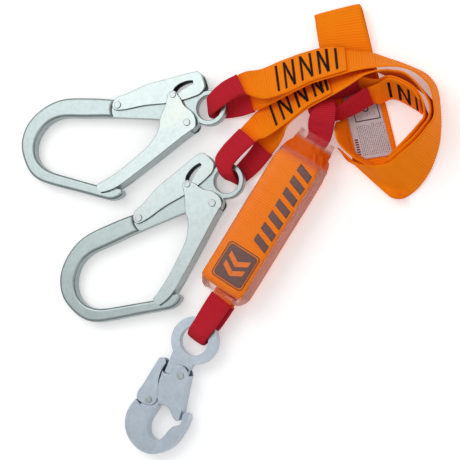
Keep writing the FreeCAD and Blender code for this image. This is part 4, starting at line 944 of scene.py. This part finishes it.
def film_mesh():
    x = np.arange(-77.5, 92.01, 0.75)
    S_ = [np.interp(x, FILM_SEC[:, 0], FILM_SEC[:, k]) for k in range(1, 6)]
    w, h, zc, yc, e = S_
    m = 168
    ph = np.linspace(0, 2 * math.pi, m, endpoint=False)
    X, PH = np.meshgrid(x, ph, indexing="ij")
    c, s = np.cos(PH), np.sin(PH)
    ee = 2.0 / e[:, None]
    y = np.sign(c) * np.abs(c) ** ee * (w / 2)[:, None]
    z = np.sign(s) * np.abs(s) ** ee * (h / 2)[:, None]
    rad = np.sqrt(y ** 2 + z ** 2)
    uy, uz = y / rad, z / rad
    # creases: gathered at the ends, shallow waves along the sides
    endk = np.clip((X - 60) / 14.0, 0, 1) + 0.55 * np.clip((-64 - X) / 10.0, 0, 1)
    arc = (PH / (2 * math.pi)) * 130.0
    creases = noise2(X + 80, arc + X * 0.25, 9.0, 4.2, 51) * 0.9 + noise2(X + 80, arc - X * 0.4, 5.0, 2.6, 52) * 0.5
    ridge = (np.abs(creases) ** 0.7) * np.sign(creases)
    side = np.clip((np.abs(uy) - 0.80) / 0.15, 0, 1)
    sidew = noise2(X + 80, z + 20, 22.0, 18.0, 53) * 0.9 - 0.35 + 0.25 * noise2(X + 80, z + 20, 6.0, 5.0, 54)
    fine = 0.10 * noise2(X + 80, arc, 3.0, 2.0, 55)
    tame = 1 - 0.75 * np.clip((X - 83) / 6.0, 0, 1)
    d = endk * ridge * 1.1 * tame - 0.35 * endk + side * sidew * (1 - np.clip(endk, 0, 1)) + fine
    d = np.clip(d, -2.2, 0.75)
    # follow the rolled edges of the wrap
    yy, zz = y + uy * d, z + uz * d
    th = 0.35
    def world(yv, zv):
        return pack_world(np.stack([X, yv + yc[:, None], zv + zc[:, None]], -1))
    O = world(yy, zz)
    I = world(yy - uy * th, zz - uz * th)
    n_, m_ = X.shape
    V_ = np.concatenate([O.reshape(-1, 3), I.reshape(-1, 3)])
    i = np.arange(n_ - 1)[:, None] * m_
    j = np.arange(m_)[None, :]
    j2 = (j + 1) % m_
    q1 = np.stack([i + j, i + j2, i + m_ + j2, i + m_ + j], -1).reshape(-1, 4)
    b = n_ * m_
    q2 = np.stack([b + i + j, b + i + m_ + j, b + i + m_ + j2, b + i + j2], -1).reshape(-1, 4)
    jj, jj2 = np.arange(m_), (np.arange(m_) + 1) % m_
    o = (n_ - 1) * m_
    e1 = np.stack([jj, b + jj, b + jj2, jj2], -1)
    e2 = np.stack([o + jj, o + jj2, b + o + jj2, b + o + jj], -1)
    Q_ = np.concatenate([q1, q2, e1, e2])
    milk = 0.0 + 0.60 * side * (1 - 0.4 * np.clip(noise2(X + 80, z + 20, 12.0, 3.0, 56), -1, 1)) + 0.30 * np.clip(endk, 0, 1) * (0.4 + 0.6 * np.abs(creases))
    neck = np.clip((X - 66) / 5.0, 0, 1) * np.clip((85.5 - X) / 3.5, 0, 1)
    milk = np.clip(milk * (1 - 0.75 * np.clip((X - 84) / 3.0, 0, 1)) + 0.70 * neck, 0, 0.93)
    mk = np.concatenate([milk.ravel(), milk.ravel()])
    return new_object("pack_film", V_ + SHIFT, Q_, FILM_M, True, None, {"milk": mk, "tint": np.concatenate([neck.ravel(), neck.ravel()])})


def grid_slab(G, raise_=0.10, th=0.14):
    """Closed thin patch on the upper face of the pack from a (n, m, 2) grid of local points."""
    n, m = G.shape[:2]
    z = top_height(G[..., 0], G[..., 1])
    top = np.concatenate([G, (z + raise_ + th)[..., None]], -1)
    bot = np.concatenate([G, (z + raise_)[..., None]], -1)
    V_ = np.concatenate([top.reshape(-1, 3), bot.reshape(-1, 3)])
    q = []
    b = n * m
    for i in range(n - 1):
        for j in range(m - 1):
            a0, a1, a2, a3 = i * m + j, i * m + j + 1, (i + 1) * m + j + 1, (i + 1) * m + j
            q.append((a0, a3, a2, a1))
            q.append((b + a0, b + a1, b + a2, b + a3))
    for i in range(n - 1):
        for j, flip in ((0, False), (m - 1, True)):
            a0, a1 = i * m + j, (i + 1) * m + j
            q.append((a0, b + a0, b + a1, a1) if not flip else (a1, b + a1, b + a0, a0))
    for j in range(m - 1):
        for i, flip in ((0, True), (n - 1, False)):
            a0, a1 = i * m + j, i * m + j + 1
            q.append((a0, b + a0, b + a1, a1) if not flip else (a1, b + a1, b + a0, a0))
    return pack_world(V_), q


def quad_grid(p, n, m):
    p = np.array(p, float)
    u = np.linspace(0, 1, n)[:, None, None]
    v = np.linspace(0, 1, m)[None, :, None]
    return (1 - u) * (1 - v) * p[0] + u * (1 - v) * p[1] + u * v * p[2] + (1 - u) * v * p[3]


def rounded_panel(x0, x1, y0, y1, r, n=48, m=30):
    xs = np.linspace(x0, x1, n)
    d = np.minimum(xs - x0, x1 - xs)
    cut = np.where(d < r, r - np.sqrt(np.maximum(r * r - (r - d) ** 2, 0)), 0)
    v = np.linspace(0, 1, m)
    return np.stack([np.repeat(xs[:, None], m, 1), (y0 + cut)[:, None] * (1 - v) + (y1 - cut)[:, None] * v], -1)


def rounded_ring(x0, x1, y0, y1, r, w, k=14):
    def loop(x0, x1, y0, y1, r):
        pts = []
        for cx, cy, a0 in ((x1 - r, y1 - r, 0), (x0 + r, y1 - r, 90), (x0 + r, y0 + r, 180), (x1 - r, y0 + r, 270)):
            for j in range(k):
                a = math.radians(a0 + 90 * j / (k - 1.0))
                pts.append((cx + r * math.cos(a), cy + r * math.sin(a)))
        return np.array(pts + [pts[0]])
    A = loop(x0, x1, y0, y1, r)
    B = loop(x0 + w, x1 - w, y0 + w, y1 - w, max(r - w, 0.3))
    # finer along the straight sides
    def dense(L):
        out = []
        for a, b in zip(L[:-1], L[1:]):
            nseg = 12 if np.linalg.norm(a - b) > 3 else 1
            for s in range(nseg):
                out.append(a + (b - a) * s / nseg)
        out.append(L[-1])
        return np.array(out)
    A, B = dense(A), dense(B)
    n = min(len(A), len(B))
    return np.stack([A[:n], B[:n]], 1)


ink = Bag()
ink.add(*grid_slab(rounded_ring(-63.5, -28.0, -19.2, 14.6, 4.0, 0.9)))
ink.add(*grid_slab(rounded_panel(-61.6, -29.9, -17.3, 12.7, 3.2)))
for k in range(7):
    x0 = -22.5 + k * 12.2
    ink.add(*grid_slab(quad_grid([(x0, -19.3), (x0 + 7.2, -19.3), (x0 + 7.2 + 5.2, -4.0), (x0 + 5.2, -4.0)], 10, 14)))
ink_o = ink.make("pack_print", INK)
mark = Bag()
for dx in (0.0, 9.5):
    mark.add(*grid_slab(quad_grid([(-56.5 + dx, -2.3), (-51.2 + dx, -2.3), (-45.2 + dx, -13.0), (-50.5 + dx, -13.0)], 8, 14), raise_=0.26))
    mark.add(*grid_slab(quad_grid([(-50.5 + dx, 8.4), (-45.2 + dx, 8.4), (-51.2 + dx, -2.3), (-56.5 + dx, -2.3)], 8, 14), raise_=0.26))
mark_o = mark.make("pack_print_mark", INK_O)
cov = cover_mesh()
core = core_mesh()
film_o = film_mesh()
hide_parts("absorber_cover")
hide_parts("absorber_core")
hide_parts("absorber_film")
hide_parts("absorber_print")
for o in (cov, core, film_o, ink_o, mark_o):
    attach(o, "absorber")

# ---------------------------------------------------------------- label
LP = np.array([(121.3, 59.2), (154.3, 62.6), (137.4, 130.1), (106.7, 125.5)])    # near left, near right, far right, far left


def label_xy(u, v):
    u, v = np.asarray(u, float)[..., None], np.asarray(v, float)[..., None]
    return (1 - u) * (1 - v) * LP[0] + (1 - u) * v * LP[1] + u * v * LP[2] + u * (1 - v) * LP[3]


def label_slab(u, v, z0, th):
    G = label_xy(u, v)
    n, m = G.shape[:2]
    wav = 0.05 * np.sin(G[..., 1] / 7.0) + 0.04 * np.sin(G[..., 0] / 5.0)
    top = np.concatenate([G, (z0 + th + wav)[..., None]], -1)
    bot = np.concatenate([G, (z0 + wav)[..., None]], -1)
    V_ = np.concatenate([top.reshape(-1, 3), bot.reshape(-1, 3)])
    q = []
    b = n * m
    for i in range(n - 1):
        for j in range(m - 1):
            a0, a1, a2, a3 = i * m + j, i * m + j + 1, (i + 1) * m + j + 1, (i + 1) * m + j
            q.append((a0, a1, a2, a3))
            q.append((b + a0, b + a3, b + a2, b + a1))
    rim = [(0, j) for j in range(m)] + [(i, m - 1) for i in range(1, n)] + [(n - 1, j) for j in range(m - 2, -1, -1)] + [(i, 0) for i in range(n - 2, 0, -1)]
    idx = [i * m + j for i, j in rim]
    for a, c_ in zip(idx, idx[1:] + idx[:1]):
        q.append((a, b + a, b + c_, c_))
    return V_, q


def uv_rect(u0, u1, v0, v1, n=6, m=4):
    return np.meshgrid(np.linspace(u0, u1, n), np.linspace(v0, v1, m), indexing="ij")


U_, V2_ = uv_rect(0.0, 1.0, 0.0, 1.0, 60, 30)
r_ = 0.05
sheet = Bag()
sheet.add(*label_slab(U_, V2_, 2.38, 0.30))
lab = sheet.make("label_sheet", LABEL_M)
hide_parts("label"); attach(lab, "webbing")
lm = Bag()
Z1 = 2.69
lm.add(*label_slab(*uv_rect(0.515, 0.530, 0.20, 0.93, 3, 20), Z1, 0.06))
lm.add(*label_slab(*uv_rect(0.515, 0.86, 0.20, 0.225, 20, 3), Z1, 0.06))
lm.add(*label_slab(*uv_rect(0.515, 0.86, 0.905, 0.93, 20, 3), Z1, 0.06))
rr = np.random.RandomState(5)
for v0 in np.arange(0.20, 0.93, 0.052):
    u = 0.05
    while u < 0.47:
        du = rr.uniform(0.006, 0.03)
        if u + du < 0.48:
            lm.add(*label_slab(*uv_rect(u, u + du, v0, v0 + 0.014, 3, 2), Z1, 0.05))
        u += du + rr.uniform(0.006, 0.014)
    if rr.uniform() < 0.35:
        u = 0.05
for v0 in np.arange(0.30, 0.86, 0.07):
    u = 0.56 + 0.02
    while u < 0.60:
        du = rr.uniform(0.006, 0.016)
        lm.add(*label_slab(*uv_rect(u, u + du, v0, v0 + 0.012, 3, 2), Z1, 0.05))
        u += du + 0.008
ths = np.linspace(0, 2 * math.pi, 41)
ring_u = 0.68 + np.outer(np.cos(ths), [0.030, 0.046])
ring_v = 0.56 + np.outer(np.sin(ths), [0.062, 0.094])
lm.add(*label_slab(ring_u, ring_v, Z1, 0.06))
marks = lm.make("label_marks", LABEL_INK)
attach(marks, "webbing")
lr = Bag()
u = 0.03
while u < 0.30:
    lr.add(*label_slab(*uv_rect(u, u + 0.022, 0.055, 0.145, 3, 3), Z1, 0.06))
    u += 0.034
red = lr.make("label_marks_red", LABEL_INK2)
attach(red, "webbing")

# ---------------------------------------------------------------- floor, light, camera
def floor():
    me = bpy.data.meshes.new("floor")
    s = 6.0
    me.from_pydata([(-s, -s, -0.0006), (s, -s, -0.0006), (s, s, -0.0006), (-s, s, -0.0006)], [], [(0, 1, 2, 3)])
    m, nt, bs, out = node_mat("floor_pale")
    bs.inputs["Base Color"].default_value = (0.93, 0.93, 0.93, 1)
    setin(bs, ["Roughness"], 0.9)
    setin(bs, ["Specular IOR Level"], 0.1)
    bs.inputs["Emission Color"].default_value = (1, 1, 1, 1)
    setin(bs, ["Emission Strength"], 0.30)
    o = bpy.data.objects.new("floor", me)
    me.materials.append(m)
    bpy.context.scene.collection.objects.link(o)


floor()
world = bpy.data.worlds.new("studio")
bpy.context.scene.world = world
world.use_nodes = True
wn = world.node_tree
wn.nodes.clear()
wo = wn.nodes.new("ShaderNodeOutputWorld")
bg = wn.nodes.new("ShaderNodeBackground")
tc = wn.nodes.new("ShaderNodeTexCoord")
sp = wn.nodes.new("ShaderNodeSeparateXYZ")
wn.links.new(tc.outputs["Generated"], sp.inputs[0])
wr = wn.nodes.new("ShaderNodeValToRGB")
wr.color_ramp.elements[0].position = 0.0
wr.color_ramp.elements[0].color = (0.13, 0.14, 0.15, 1)
wr.color_ramp.elements[1].position = 1.0
wr.color_ramp.elements[1].color = (0.96, 0.96, 0.96, 1)
for p_, c_ in ((0.25, 0.24), (0.6, 0.60)):
    e_ = wr.color_ramp.elements.new(p_)
    e_.color = (c_, c_ * 1.005, c_ * 1.01, 1)
wn.links.new(sp.outputs[2], wr.inputs[0])
wn.links.new(wr.outputs[0], bg.inputs[0])
bg.inputs[1].default_value = 0.90
wn.links.new(bg.outputs[0], wo.inputs[0])


def area(name, loc, target, size, power, col=(1, 1, 1), size_y=None):
    d = bpy.data.lights.new(name, "AREA")
    d.energy = power
    d.color = col
    d.shape = "RECTANGLE"
    d.size = size
    d.size_y = size_y or size
    o = bpy.data.objects.new(name, d)
    o.location = loc
    v = Vector(target) - Vector(loc)
    o.rotation_euler = v.to_track_quat("-Z", "Y").to_euler()
    bpy.context.scene.collection.objects.link(o)
    return o


area("key", (-0.9, 0.9, 1.9), (0, 0, 0), 1.4, 12.5)
area("fill", (1.4, -1.0, 1.7), (0, 0, 0), 1.6, 4.0)
area("strip", (0.2, 1.7, 0.9), (0, 0, 0.02), 1.8, 2.5, size_y=0.5)

CAM_R = Vector((0.96066572, 0.0, -0.27770734))
CAM_U = Vector((0.03384401, 0.99254615, 0.1170757))
CAM_B = Vector((0.27563736, -0.12186934, 0.95350507))
cam_d = bpy.data.cameras.new("camera")
cam_d.sensor_width = 36.0
cam_d.lens = 105.19
cam_d.clip_start = 0.05
cam_d.clip_end = 30.0
cam = bpy.data.objects.new("camera", cam_d)
bpy.context.scene.collection.objects.link(cam)
tgt = Vector((SHIFT[0] * MM, SHIFT[1] * MM, SHIFT[2] * MM))
loc = tgt + CAM_B * 1.25
cam.matrix_world = Matrix(((CAM_R.x, CAM_U.x, CAM_B.x, loc.x), (CAM_R.y, CAM_U.y, CAM_B.y, loc.y), (CAM_R.z, CAM_U.z, CAM_B.z, loc.z), (0, 0, 0, 1)))
bpy.context.scene.camera = cam
vs = bpy.context.scene.view_settings
vs.view_transform = "Standard"
vs.look = "None"
vs.exposure = 0.0
vs.gamma = 1.0
